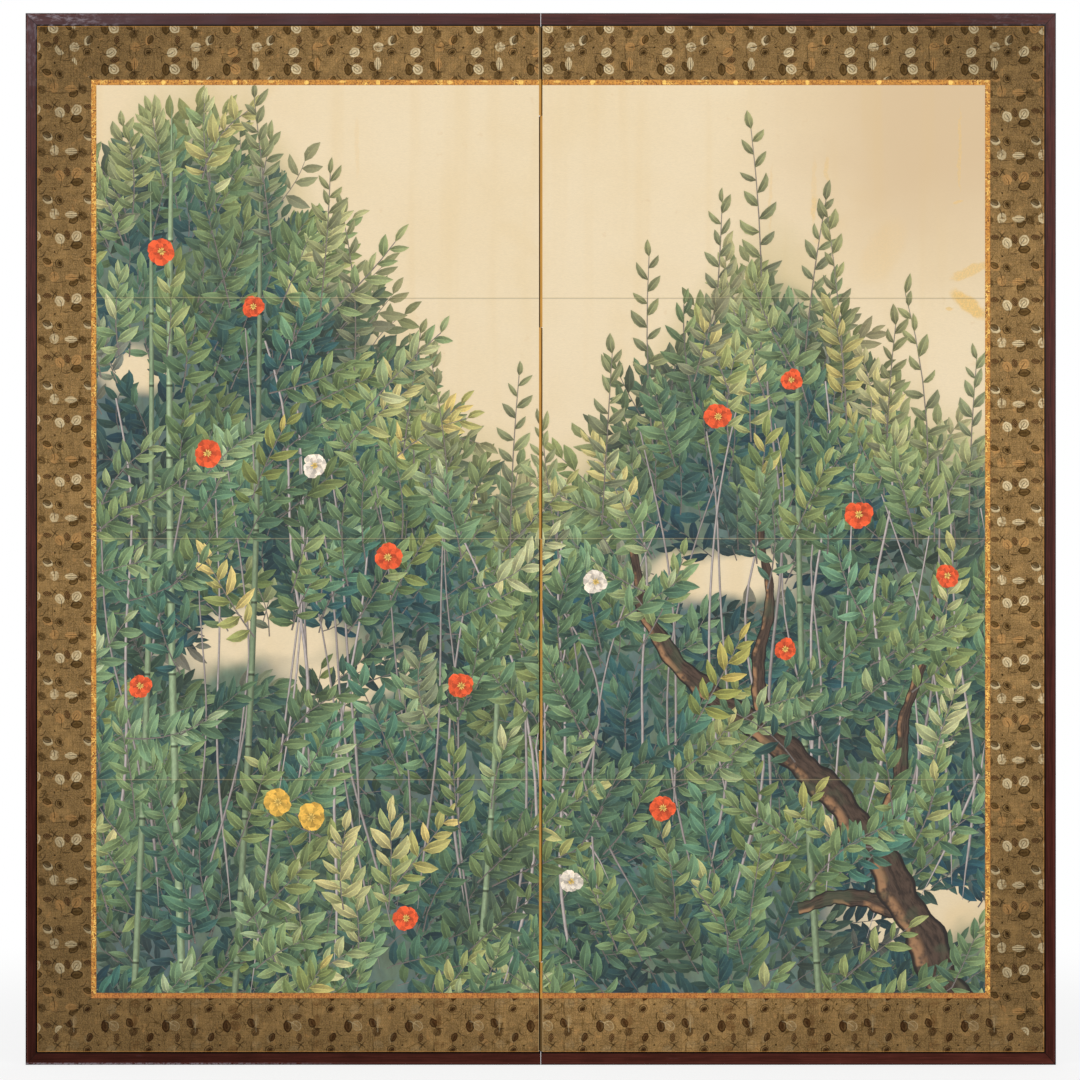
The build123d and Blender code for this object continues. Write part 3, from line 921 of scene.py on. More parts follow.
def lacquer(name, along):
    """Brown-red lacquer over fine grain, darker low down, with a painted violet highlight high up.

    The outer sides and the inner lip are painted near-black as shade, and the mitres are nearly black.
    A pale line along the outer rounding is a painted highlight. The upper corners and the foot are
    rubbed pale, more so on the left.
    """
    settings = bpy.context.scene.screen_lacquer
    stretch = (0.03, 1.0, 1.0) if along == 0 else (1.0, 1.0, 0.03)
    rub_stretch, rub_share = ((0.35, 1.0, 1.0), 0.80) if along == 0 else ((1.0, 1.0, 0.35), 0.28)
    dimmer, brighter = (-0.06, 0.78) if along == 0 else (-0.18, 0.20)

    def base(tree):
        place = tree.place()
        x, _, z = tree.split(place)
        side = abs(x)
        grain = tree.noise(place, 520.0, 4.0, 0.6, stretch=stretch)
        streak = tree.between(grain, 0.34, 0.70)
        body = tree.mix(streak, settings.shade, settings.body)
        low = tree.between(z, 1.3, 0.02, 0.0, 0.72, smooth=False)
        body = tree.mix(low, body, tree.mix(0.8, body, settings.shade))
        rightward = tree.between(x, -SCREEN_SIDE, SCREEN_SIDE, dimmer, brighter, smooth=False)
        level = 1.0 + rightward * tree.between(z, 0.9, 0.1)
        cloudy = tree.between(tree.noise(place, 26.0, 4.0, 0.6), 0.3, 0.7, 0.84, 1.16, smooth=False)
        body = tree.scale(body, level * cloudy)
        # Painted highlight: violet sheen mixed into the upper rails in patches, stronger on the left
        high = tree.between(z, CLOTH_TOP - 0.25, CLOTH_TOP + 0.01)
        highlight_share = tree.between(tree.noise(place, 11.0, 3.0), 0.35, 0.65, 0.45, 1.0)
        highlight_share = highlight_share * tree.between(x, 0.25, -0.75, 0.25, 0.95)
        body = tree.mix(high * highlight_share, body, settings.bloom)
        from_side, from_top = SCREEN_SIDE - side, SCREEN_TOP - z
        outer = tree.smallest(from_side, from_top, z)
        inner = tree.largest(side - CLOTH_SIDE, z - CLOTH_TOP, CLOTH_BOTTOM - z)
        # Painted highlight: a paler red line along the frame's outer rounding
        rounding_highlight = tree.between(abs(outer - 3.2 * MM), 1.6 * MM, 0.2 * MM, 0.0, 0.55)
        body = tree.mix(rounding_highlight, body, (0.135, 0.040, 0.030))
        # Painted shade: near-black over the outer rounding, darkest on the inner lip where the frame meets
        # the cloth
        darkest, dark, dull = (tuple(c * share for c in settings.edge) for share in (0.3, 0.6, 1.5))
        body = tree.mix(tree.between(outer, 2.6 * MM, 1.4 * MM), body, tree.mix(streak, dark, dull))
        body = tree.mix(tree.between(inner, 3.0 * MM, 2.2 * MM), body, darkest)
        rail_share = tree.smallest(from_top, z) / (SCREEN_TOP - CLOTH_TOP)
        stile_share = from_side / (SCREEN_SIDE - CLOTH_SIDE)
        mitre = abs(rail_share - stile_share)
        body = tree.mix(tree.between(mitre, 0.07, 0.02, 0.0, 0.75), body, settings.edge)
        scratch = tree.between(tree.noise(place, 700.0, 2.0, 0.5, stretch=stretch), 0.72, 0.80, 0.0, 0.35)
        rubbed = rubbed_places(tree, place, x, z, rub_stretch, rub_share)
        return tree.mix(tree.largest(rubbed, scratch), body, settings.worn)

    def roughness(tree):
        cloud = tree.noise(tree.place(), 40.0, 4.0, 0.6)
        return tree.between(cloud, 0.3, 0.7, 0.34, 0.50, smooth=False)

    def height(tree):
        return tree.noise(tree.place(), 520.0, 3.0, 0.6, stretch=stretch)

    def gloss(tree):
        return tree.between(tree.split(tree.place())[2], 1.10, 0.35, 0.15, 0.035)

    return finish(name, base, roughness, height, 0.08 * MM, Specular_IOR_Level=gloss)


def rubbed_places(tree, place, x, z, stretch, corner_share):
    """Share of rubbed lacquer: broken by a noise, near the upper corners and along the foot on the left."""
    corner = tree.vector("DISTANCE", tree.join(abs(x), z), (SCREEN_SIDE, SCREEN_TOP, 0.0))
    rub = tree.between(tree.noise(place, 160.0, 5.0, 0.75, stretch=stretch), 0.47, 0.66)
    rubbed = rub * tree.between(corner, 0.22, 0.02, 0.0, corner_share)
    rubbed = rubbed * tree.between(x, 0.3, -0.7, 0.35, 1.0)
    foot = tree.between(z, 4.2 * MM, 2.8 * MM, 0.0, 0.95) * tree.between(x, -0.25, -0.60)
    scuffs = tree.between(tree.noise(place, 260.0, 3.0, 0.7), 0.38, 0.58)
    return tree.largest(rubbed, foot * scuffs)


def core_wood(name, along):
    """Pale cedar: fine streaks along the member over broad bands."""
    stretch = (0.04, 1.0, 1.0) if along == 0 else (1.0, 1.0, 0.04)

    def base(tree):
        fine = tree.noise(tree.place(), 260.0, 4.0, 0.6, stretch=stretch)
        broad = tree.noise(tree.place(), 45.0, 2.0, 0.5, stretch=stretch)
        wood = tree.mix(tree.between(fine, 0.3, 0.7), (0.42, 0.27, 0.14), (0.60, 0.43, 0.26))
        return tree.mix(tree.between(broad, 0.4, 0.7, 0.0, 0.5), wood, (0.36, 0.20, 0.10))

    def height(tree):
        return tree.noise(tree.place(), 260.0, 3.0, 0.6, stretch=stretch)

    return finish(name, base, 0.72, height, 0.15 * MM)


def nail_iron():
    """Dark iron with brown rust spots."""

    def base(tree):
        rust = tree.between(tree.noise(tree.place(), 900.0, 3.0), 0.45, 0.65)
        return tree.mix(rust, (0.09, 0.085, 0.08), (0.16, 0.07, 0.035))

    def roughness(tree):
        return tree.between(tree.noise(tree.place(), 900.0, 3.0), 0.4, 0.7, 0.4, 0.75, smooth=False)

    return finish("Nail iron", base, roughness, Metallic=0.7)


def plain_paper(name, tone, stain, age, roughness=0.85):
    """Old paper of one tone."""

    def base(tree):
        return paper_colour(tree, tone, stain, age)

    return finish(name, base, roughness, paper_height, 0.08 * MM)


def back_paper():
    """Dull green paper printed in mica: four-petalled rosettes in rings, on a diagonal lattice.

    In polar coordinates about each lattice point, the rosette is where the distance is under
    0.62 + 0.3 cos(4 angle) of its radius. A plain and a scalloped ring run around it.
    """
    settings = bpy.context.scene.screen_paper
    pitch, radius = 104.0 * MM, 29.0 * MM

    def base(tree):
        place = tree.place()
        x, _, z = tree.split(place)
        paper = paper_colour(tree, settings.back, (0.10, 0.085, 0.045), 0.45, Foxing=0.5)
        low, high = (-pitch / 2, -pitch / 2, -1.0), (pitch / 2, pitch / 2, 1.0)
        printed = None
        for shift in (0.0, 0.5):
            cell = tree.vector("WRAP", tree.join(x + shift * pitch, z + shift * pitch), high, low)
            u, v, _ = tree.split(cell)
            angle = tree.math("ARCTAN2", v, u)
            limit = 0.62 + tree.math("COSINE", angle * 4.0) * 0.30
            away = tree.vector("LENGTH", cell) / radius
            petals = tree.between(limit - away, 0.0, 0.05)
            eye = tree.between(abs(away - 0.16), 0.05, 0.02)
            veins = tree.between(tree.math("COSINE", angle * 20.0), 0.75, 0.98, 0.0, 0.7)
            veins = veins * tree.between(away, 0.25, 0.35)
            rosette = petals * (1.0 - tree.largest(eye, veins))
            ring = tree.between(abs(away - 1.14), 0.05, 0.02, 0.0, 0.8)
            scallop = 1.36 + tree.math("COSINE", angle * 16.0) * 0.05
            outer = tree.between(abs(away - scallop), 0.05, 0.02, 0.0, 0.55)
            shape = tree.largest(rosette, ring, outer)
            printed = shape if printed is None else tree.largest(printed, shape)
        rubbed = tree.between(tree.noise(place, 75.0, 4.0, 0.6), 0.34, 0.60, 0.25, 1.0)
        shown = tree.mix(printed * rubbed, paper, settings.back_print)
        return with_seams(tree, shown, 0.35)

    return finish("Back paper", base, 0.8, paper_height, 0.1 * MM)


def cover_mask(tree, x, z):
    """Share of foliage at a place, and how far below the canopy outline it lies.

    The share is 1 below the outline, and 0 above it and inside the drifts of mist.
    """
    xs = [point[0] for point in CANOPY]
    span = xs[-1] - xs[0]
    share = (x - xs[0]) / span
    curve = tree.bare_node("FloatCurve", {"Value": share})
    points = curve.mapping.curves[0].points
    for index, (px, pz) in enumerate(CANOPY):
        spot = (px - xs[0]) / span, pz / 2.0
        if index in (0, len(CANOPY) - 1):
            points[0 if index == 0 else -1].location = spot
        else:
            points.new(*spot)
    for point in points:
        point.handle_type = "VECTOR"
    curve.mapping.update()
    depth = Wire(tree, curve.outputs[0]) * 2.0 - z
    cover = tree.between(depth, -0.02, 0.10)
    for mx, mz, rx, rz in MIST:
        across = (x - mx) / rx
        up = (z - mz) / rz
        cover = cover * tree.between(tree.vector("LENGTH", tree.join(across, up)), 0.55, 1.35)
    return cover, depth


def painting_paper():
    """Cream paper with golden stains and fine drips, washed green and blue under the foliage.

    Slow stains are where a noise is high, and drips are the same noise drawn out in height. Each old stain
    is an ellipse with a frayed edge. The wash follows the foliage cover, with a yellow halo at its edge.
    """
    settings = bpy.context.scene.screen_paper

    def base(tree):
        place = tree.place()
        moved = tree.shaken(place, place, 7.0, 3.0, (0.13, 0.0, 0.13))
        x, _, z = tree.split(moved)
        paper = paper_colour(tree, settings.sky, settings.stain, 0.16, Foxing=0.12)
        toned = tree.between(x, 0.28, 0.62) * tree.between(z, 1.18, 1.50) * 0.95
        paper = tree.mix(toned, paper, settings.toning)
        stain = tree.between(tree.noise(moved, 2.6, 4.0, 0.6), 0.56, 0.70, 0.0, 0.30)
        runs = tree.noise(place, 26.0, 2.0, 0.5, stretch=(1.0, 1.0, 0.06))
        stain = tree.largest(stain, tree.between(runs, 0.50, 0.72, 0.0, 0.16))
        paper = tree.mix(stain, paper, settings.stain)
        frayed = tree.shaken(place, place, 70.0, 3.0, (0.012, 0.0, 0.012))
        granules = tree.between(tree.noise(place, 330.0, 3.0), 0.40, 0.64)
        blotted = tree.mix(granules, settings.stain, (0.86, 0.56, 0.20))
        for sx, sz, reach, breadth, turn, strength in STAINS:
            near = tree.vector("SUBTRACT", frayed, (sx, 0.0, sz))
            turned = tree.turned(near, math.radians(turn), "Y_AXIS")
            away = tree.vector("LENGTH", tree.vector("MULTIPLY", turned, (1.0 / reach, 0.0, 1.0 / breadth)))
            paper = tree.mix(tree.between(away, 1.20, 0.70, 0.0, strength), paper, blotted)
        cover, depth = cover_mask(tree, x, z)
        halo = tree.between(depth, -0.11, 0.02) * tree.between(depth, 0.14, 0.03)
        paper = tree.mix(halo * 0.45, paper, (0.52, 0.43, 0.19))
        pools = tree.between(tree.noise(place, 9.0, 4.0, 0.6), 0.38, 0.62)
        wash = tree.mix(pools, settings.wash, settings.wash_blue)
        brushed = tree.noise(place, 55.0, 3.0, 0.6, stretch=(1.0, 1.0, 0.5))
        wash = tree.scale(wash, tree.between(brushed, 0.3, 0.7, 0.70, 1.35, smooth=False))
        painted = tree.mix(cover * 0.93, paper, wash)
        return with_seams(tree, painted, 0.42)

    return finish("Painting paper", base, 0.86, paper_height, 0.06 * MM)


# --- Pigments ---


def leaf_pigment(name, rim, vein, shade):
    """Mineral pigment of a leaf or petal: dark at the foot and on one half, with pale rim, midrib and veins.

    It reads the stroke's colour from the attribute "paint", and how far across (-1 to 1) and along
    (0 to 1) the stroke a point lies from the attribute "blade".
    """

    def base(tree):
        place = tree.place()
        paint = tree.attribute("paint")["Color"]
        across, along, _ = tree.split(tree.attribute("blade")["Vector"])
        out = abs(across)
        foot = tree.between(along, 0.0, 0.75, 1.0 - shade, 1.0)
        half = tree.between(across, -0.15, 0.15, 1.0 - 0.35 * shade, 1.0 + 0.30 * shade)
        tone = foot * half
        ribs = tree.math("SINE", (along - out * 0.22) * 44.0)
        tone = tone * tree.between(ribs, 0.2, 1.0, 1.0, 1.0 + 0.10 * vein)
        grain = tree.noise(place, 420.0, 3.0, 0.7)
        tone = tone * tree.between(grain, 0.25, 0.75, 0.84, 1.16, smooth=False)
        pale = tree.vector("ADD", tree.vector("MULTIPLY", paint, (1.55, 1.50, 1.30)), (0.035, 0.04, 0.02))
        edge = tree.between(out, 0.62, 0.98) * tree.between(along, 0.05, 0.5, 0.2, 1.0)
        midrib = tree.between(out, 0.14, 0.03) * tree.between(along, 1.0, 0.3)
        brushed = tree.between(tree.noise(place, 90.0, 2.0), 0.35, 0.60)
        light = tree.largest(edge * rim * brushed, midrib * vein)
        painted = tree.mix(light, tree.scale(paint, tone), pale)
        worn = tree.between(tree.noise(place, 150.0, 4.0, 0.7), 0.52, 0.68, 0.0, 0.42)
        painted = tree.mix(worn, painted, tree.vector("MULTIPLY", painted, (0.78, 0.62, 0.50)))
        powder = tree.between(tree.noise(place, 240.0, 3.0, 0.7), 0.58, 0.70, 0.0, 0.30)
        painted = tree.mix(powder, painted, tree.vector("MULTIPLY", paint, (1.75, 1.70, 1.55)))
        return with_seams(tree, painted, 0.30)

    def height(tree):
        return tree.noise(tree.place(), 420.0, 2.0, 0.6)

    return finish(name, base, 0.82, height, 0.05 * MM)


def stem_pigment(name, rings):
    """Pigment of stems and culms: pale along the middle, darker at both sides, with dark rings if asked."""

    def base(tree):
        paint = tree.attribute("paint")["Color"]
        across, along, _ = tree.split(tree.attribute("blade")["Vector"])
        lit = tree.between(abs(across + 0.25), 1.1, 0.1, 0.50, 1.30)
        grain = tree.noise(tree.place(), 300.0, 3.0, 0.6, stretch=(1.0, 1.0, 0.3))
        tone = lit * tree.between(grain, 0.3, 0.7, 0.80, 1.18, smooth=False)
        if rings:
            phase = tree.math("MODULO", along, rings)
            joint = tree.between(abs(phase - rings / 2), 3.0 * MM, 0.8 * MM)
            tone = tone * (1.0 - joint * 0.72)
            under = tree.between(abs(phase - (rings / 2 + 4.0 * MM)), 3.5 * MM, 0.5 * MM)
            tone = tone * (1.0 + under * 0.35)
        return with_seams(tree, tree.scale(paint, tone), 0.30)

    return finish(name, base, 0.84)


def bark_pigment():
    """Bark with ink edges, dark furrows along the limb and a broken tan light on its upper side."""
    settings = bpy.context.scene.screen_garden

    def base(tree):
        place = tree.place()
        across, along, chance = tree.split(tree.attribute("blade")["Vector"])
        ends = tree.join(across * 0.05, along * 0.45, chance)
        furrow = tree.noise(ends, 95.0, 4.0, 0.65)
        knots = tree.noise(place, 34.0, 3.0, 0.6)
        shadow = tuple(c * 0.35 for c in settings.bark)
        bark = tree.mix(tree.between(furrow, 0.35, 0.62), shadow, settings.bark)
        light = tree.between(across, -0.1, -0.55) * tree.between(knots, 0.42, 0.60)
        light = light * tree.between(across, -1.0, -0.75)
        bark = tree.mix(light * 0.85, bark, (0.44, 0.235, 0.115))
        green = tree.between(tree.noise(place, 20.0, 2.0), 0.55, 0.70, 0.0, 0.5)
        bark = tree.mix(green, bark, (0.075, 0.105, 0.06))
        ink = tree.between(abs(across), 0.74, 0.92) * 0.9
        bark = tree.mix(ink, bark, (0.010, 0.008, 0.008))
        return with_seams(tree, bark, 0.30)

    def height(tree):
        return tree.noise(tree.place(), 240.0, 3.0, 0.7)

    return finish("Bark pigment", base, 0.85, height, 0.1 * MM)


# --- Strokes ---


def canopy_height(x):
    """Height of the canopy outline over x, straight between its points."""
    return np.interp(x, [point[0] for point in CANOPY], [point[1] for point in CANOPY])


def foliage_cover(x, z):
    """Share of foliage: a step 60 mm deep under the canopy, cleared inside each rippled ellipse of mist."""
    cover = np.clip((canopy_height(x) - z) / 0.06 + 0.35, 0.0, 1.0)
    for mx, mz, rx, rz in MIST:
        away = np.hypot((x - mx) / rx, (z - mz) / rz) + 0.28 * ripple(x, z, 0.10, 21)
        cover = cover * np.clip((away - 0.80) / 0.45, 0.0, 1.0)
    return cover


def ripple(x, z, scale, seed):
    """Slow wave field from -1 to 1: the mean of six sine waves of fixed directions."""
    rng = np.random.default_rng(seed)
    turn = rng.uniform(0.0, 2.0 * np.pi, (6, 2))
    pace = rng.uniform(0.7, 1.4, 6) * 2.0 * np.pi / scale
    waves = [
        np.sin(rate * (np.cos(heading) * x + np.sin(heading) * z) + start)
        for rate, (heading, start) in zip(pace, turn)
    ]
    return np.sum(waves, axis=0) / 3.0


def blades(foot, heading, reach, half_width, bend, rows=5, outline=(0.85, 0.75)):
    """Leaf shapes.

    The midline is an arc: its heading turns by bend from foot to tip. The half width over the share t
    along it is half_width * sin(pi t^a)^b, kept over 0.05 at the ends, with a and b the outline. Returns
    points (n, rows, 3, 2) and marks (n, rows, 3, 2): across -1, 0, 1 and along 0..1.
    """
    along = np.linspace(0.0, 1.0, rows)
    middle = (along[1:] + along[:-1]) / 2.0
    turn = heading[:, None] + bend[:, None] * (middle - 0.5)
    step = reach[:, None] / (rows - 1)
    walk = np.stack([step * np.cos(turn), step * np.sin(turn)], -1)
    line = np.concatenate([np.zeros((len(reach), 1, 2)), np.cumsum(walk, axis=1)], axis=1) + foot[:, None]
    at = heading[:, None] + bend[:, None] * (along - 0.5)
    right = np.stack([np.sin(at), -np.cos(at)], -1)
    profile = np.maximum(np.sin(np.pi * along ** outline[0]).clip(0.0) ** outline[1], 0.05)
    across = np.array([-1.0, 0.0, 1.0])
    spread_out = half_width[:, None, None] * profile[None, :, None] * across
    points = line[:, :, None] + right[:, :, None] * spread_out[..., None]
    marks = np.broadcast_to(
        np.stack([np.broadcast_to(across, (rows, 3)), np.repeat(along[:, None], 3, 1)], -1),
        (len(reach), rows, 3, 2),
    )
    return points, marks


def ribbons(lines, half_width, columns=3):
    """Strips along lines (n, m, 2), half_width (n, m) to each side, at right angles to the line.

    Returns points (n, m, columns, 2) and marks: across -1..1 and along in metres.
    """
    step = np.gradient(lines, axis=1)
    step = step / np.linalg.norm(step, axis=-1, keepdims=True)
    right = np.stack([step[..., 1], -step[..., 0]], -1)
    across = np.linspace(-1.0, 1.0, columns)
    points = lines[:, :, None] + right[:, :, None] * (half_width[..., None] * across)[..., None]
    run = np.linalg.norm(np.diff(lines, axis=1), axis=-1)
    along = np.concatenate([np.zeros((len(lines), 1)), np.cumsum(run, axis=1)], axis=1)
    marks = np.stack(np.broadcast_arrays(across, along[..., None]), -1)
    return points, marks


def smooth_path(points, count):
    """Catmull-Rom curve through the points, evenly spaced in its parameter."""
    p = np.asarray(points, float)
    p = np.concatenate([[2 * p[0] - p[1]], p, [2 * p[-1] - p[-2]]])
    t = np.linspace(0.0, len(points) - 1.0, count)
    k = np.minimum(t.astype(int), len(points) - 2)
    s = (t - k)[:, None]
    a, b, c, d = p[k], p[k + 1], p[k + 2], p[k + 3]
    return 0.5 * (2 * b + (c - a) * s + (2 * a - 5 * b + 4 * c - d) * s**2 + (3 * b - a - 3 * c + d) * s**3)


class Strokes:
    """Brush strokes of one layer, gathered as grids with a colour and a level of stacking each."""

    def __init__(self, layer):
        self.layer = layer
        self.batches = []

    def add(self, shapes, paint, level):
        """Grids and their marks, one linear colour and one level from 0 to 1 for each stroke."""
        points, marks = shapes
        chance = np.broadcast_to(np.asarray(level)[:, None, None, None], (*points.shape[:3], 1))
        marks = np.concatenate([marks, chance], -1)
        self.batches.append((points, marks, np.asarray(paint), np.asarray(level)))

    def part_twins(self):
        """Leaves out each stroke that shares a small cell with an earlier stroke of its own level."""
        keys, owners, total = [], [], 0
        for points, _, _, level in self.batches:
            corners = points[:, 1:, 1:], points[:, :-1, 1:], points[:, 1:, :-1], points[:, :-1, :-1]
            middles = sum(corners[1:], corners[0]) / 4.0
            spots = np.concatenate([grid.reshape(len(points), -1, 2) for grid in (points, middles)], 1)
            cell = np.floor(spots / TWIN_CELL).astype(int)
            rank = np.round(level * LEVEL_RANKS).astype(int)[:, None]
            keys.append(((rank * CELL_SPAN + cell[..., 0]) * CELL_SPAN + cell[..., 1]).ravel())
            owners.append(np.repeat(total + np.arange(len(points)), spots.shape[1]))
            total += len(points)
        owners = np.concatenate(owners)
        _, first, group = np.unique(np.concatenate(keys), return_index=True, return_inverse=True)
        kept = np.ones(total, bool)
        kept[owners[owners != owners[first][group.ravel()]]] = False
        ends = np.cumsum([len(batch[0]) for batch in self.batches])
        self.batches = [
            tuple(values[kept[end - len(batch[0]) : end]] for values in batch)
            for batch, end in zip(self.batches, ends)
        ]

    def piece(self, side, material):
        """One mesh with the strokes that fall on a panel, cut off at its painting's outline."""
        gap, thickness = LAYERS[self.layer]
        low_x, high_x = (-PAINTING_SIDE, -PANEL_EDGE) if side == "left" else (PANEL_EDGE, PAINTING_SIDE)
        corners, faces, marks, paints, levels, offset = [], [], [], [], [], 0
        for points, mark, paint, level in self.batches:
            least, most = points.min((1, 2)), points.max((1, 2))
            kept = (least[:, 0] < high_x) & (most[:, 0] > low_x)
            kept &= (least[:, 1] < PAINTING_TOP) & (most[:, 1] > PAINTING_BOTTOM)
            if not kept.any():
                continue
            points, mark, paint, level = points[kept], mark[kept], paint[kept], level[kept]
            count, rows, columns = points.shape[:3]
            y = PAPER_FRONT - gap - level[:, None, None] * thickness
            x = np.clip(points[..., 0], low_x, high_x)
            z = np.clip(points[..., 1], PAINTING_BOTTOM, PAINTING_TOP)
            corners.append(np.stack([x, np.broadcast_to(y, x.shape), z], -1).reshape(-1, 3))
            number = np.arange(rows * columns).reshape(rows, columns)
            quad = number[:-1, :-1], number[:-1, 1:], number[1:, 1:], number[1:, :-1]
            quad = np.stack(quad, -1).reshape(-1, 4)
            grid = quad[None] + offset + rows * columns * np.arange(count)[:, None, None]
            faces.append(grid.reshape(-1, 4))
            levels.append(np.repeat(level, len(quad)))
            marks.append(mark.reshape(-1, 3))
            paints.append(np.repeat(paint, rows * columns, axis=0))
            offset += count * rows * columns
        if not corners:
            return None
        corners, faces = np.concatenate(corners), np.concatenate(faces)
        faces = faces[np.argsort(np.concatenate(levels), kind="stable")]
        a, b, c, d = (corners[faces[:, k]][:, (0, 2)] for k in range(4))
        area = np.abs(np.cross(c - a, d - b)) / 2.0
        faces = faces[area > SMALLEST_QUAD]
        marks, paints = np.concatenate(marks), np.concatenate(paints)
        return stroke_mesh(f"{side}_{self.layer}", side, corners, faces, marks, paints, material)


def stroke_mesh(name, side, corners, faces, marks, paints, material):
    """Mesh object of quads with the point attributes "blade" and "paint", and a flat map over the panel."""
    used, faces = np.unique(faces, return_inverse=True)
    faces = faces.reshape(-1, 4)
    corners, marks, paints = corners[used], marks[used], paints[used]
    mesh = bpy.data.meshes.new(name)
    mesh.vertices.add(len(corners))
    mesh.vertices.foreach_set("co", corners.astype(np.float32).ravel())
    mesh.loops.add(faces.size)
    mesh.loops.foreach_set("vertex_index", faces.astype(np.int32).ravel())
    mesh.polygons.add(len(faces))
    mesh.polygons.foreach_set("loop_start", np.arange(0, faces.size, 4, dtype=np.int32))
    mesh.update(calc_edges=True)
    blade = mesh.attributes.new("blade", "FLOAT_VECTOR", "POINT")
    blade.data.foreach_set("vector", marks.astype(np.float32).ravel())
    paint = mesh.attributes.new("paint", "FLOAT_COLOR", "POINT")
    rgba = np.concatenate([paints, np.ones((len(paints), 1))], 1)
    paint.data.foreach_set("color", rgba.astype(np.float32).ravel())
    shift = -PAINTING_SIDE if side == "left" else PANEL_EDGE
    flat = np.stack([
        (corners[:, 0] - shift) / (PAINTING_SIDE - PANEL_EDGE),
        (corners[:, 2] - PAINTING_BOTTOM) / (PAINTING_TOP - PAINTING_BOTTOM),
    ], 1)
    chart = mesh.uv_layers.new(name="OFBake")
    chart.data.foreach_set("uv", flat[faces.ravel()].astype(np.float32).ravel())
    mesh.materials.append(material)
    mesh.validate()
    piece = bpy.data.objects.new(name, mesh)
    bpy.context.scene.collection.objects.link(piece)
    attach(piece, f"{side}_panel")
    return piece


def rgb(setting):
    """A colour setting as an array."""
    return np.array(tuple(setting))


def leaf_colours(tone):
    """Colours on the scale of leaf tones, from shadow (0) to pale yellow (1)."""
    garden = bpy.context.scene.screen_garden
    stops = [garden.leaf_shadow, garden.leaf_dark, garden.leaf_green, garden.leaf_light, garden.leaf_pale]
    table = np.array([rgb(stop) for stop in stops])
    at = np.linspace(0.0, 1.0, len(stops))
    return np.stack([np.interp(tone, at, table[:, k]) for k in range(3)], -1)


def leafy_twigs(
    strokes, rng, foot, heading, bend, reach, leaves, leaf_reach, tone, haze, warmth, level, half_width
):
    """Twigs with alternate leaves.

    A twig is an arc of even turn. Leaf k stands at share (k + 1) / n of it, left and right in turn, at an
    angle to the twig that closes towards the tip, and the last leaf ends the twig. Leaf k stacks on
    sub-level k mod 5 above the twig, so leaves that meet never share a plane.
    """
    garden = bpy.context.scene.screen_garden
    count = len(foot)
    path = np.linspace(0.0, 1.0, TWIG_STEPS + 1)
    turn = heading[:, None] + bend[:, None] * (path - 0.5)
    walk = np.stack([np.cos(turn), np.sin(turn)], -1) * (reach / TWIG_STEPS)[:, None, None]
    twig = np.concatenate([np.zeros((count, 1, 2)), np.cumsum(walk[:, 1:], axis=1)], axis=1) + foot[:, None]
    step = 1.0 / (SPRAY_COLUMNS * SPRAY_ROWS * SUB_LEVELS)
    sky = rgb(bpy.context.scene.screen_paper.sky)
    stem_paint = rgb(garden.stem) * np.clip(0.50 + 0.9 * tone, 0.45, 1.15)[:, None]
    stem_paint = stem_paint * (1.0 - haze[:, None]) + sky * haze[:, None]
    half = half_width * np.linspace(1.0, 0.45, TWIG_STEPS + 1)[None] * np.ones((count, 1))
    strokes.add(ribbons(twig, half), stem_paint, level)

    share = (np.arange(leaves) + 1.0) / leaves
    place = share * TWIG_STEPS
    low = np.minimum(place.astype(int), TWIG_STEPS - 1)
    part = (place - low)[None, :, None]
    base = twig[:, low] * (1.0 - part) + twig[:, low + 1] * part
    hand = np.where(np.arange(leaves) % 2 == 0, 1.0, -1.0)
    opened = np.radians(68.0) * (1.0 - 0.60 * share) * hand
    opened[-1] = 0.0
    shape = (count, leaves)
    at = heading[:, None] + bend[:, None] * (share - 0.5) + opened + rng.normal(0.0, 0.20, shape)
    size = leaf_reach * (1.12 - 0.45 * np.abs(share - 0.45)) * rng.uniform(0.75, 1.15, shape)
    half = size * rng.uniform(0.15, 0.225, shape)
    curl = -0.55 * hand * (1.0 - 0.5 * share) + rng.normal(0.0, 0.30, shape)
    leaf_tone = tone[:, None] + 0.16 * (share - 0.5) + rng.normal(0.0, 0.10, shape)
    paint = leaf_colours(np.clip(leaf_tone, 0.0, 1.0))
    drift = ripple(foot[:, 0], foot[:, 1], 0.16, 31) + ripple(foot[:, 0], foot[:, 1], 0.05, 32)
    tint = np.stack([1.0 + 0.16 * drift, np.ones(count), 1.0 - 0.20 * drift], -1)
    paint = paint * tint[:, None]
    olive = rgb(garden.olive) * (0.45 + 1.1 * np.clip(leaf_tone, 0.0, 1.0))[..., None]
    warmed = np.clip(warmth[:, None] * (0.55 + 0.75 * share), 0.0, 0.9)[..., None]
    paint = paint * (1.0 - warmed) + olive * warmed
    paint = paint * (1.0 - haze[:, None, None]) + sky * haze[:, None, None]
    sub_level = level[:, None] + step * (1 + np.arange(leaves) % (SUB_LEVELS - 1))
    shapes = blades(base.reshape(-1, 2), at.ravel(), size.ravel(), half.ravel(), curl.ravel())
    strokes.add(shapes, paint.reshape(-1, 3), sub_level.ravel())


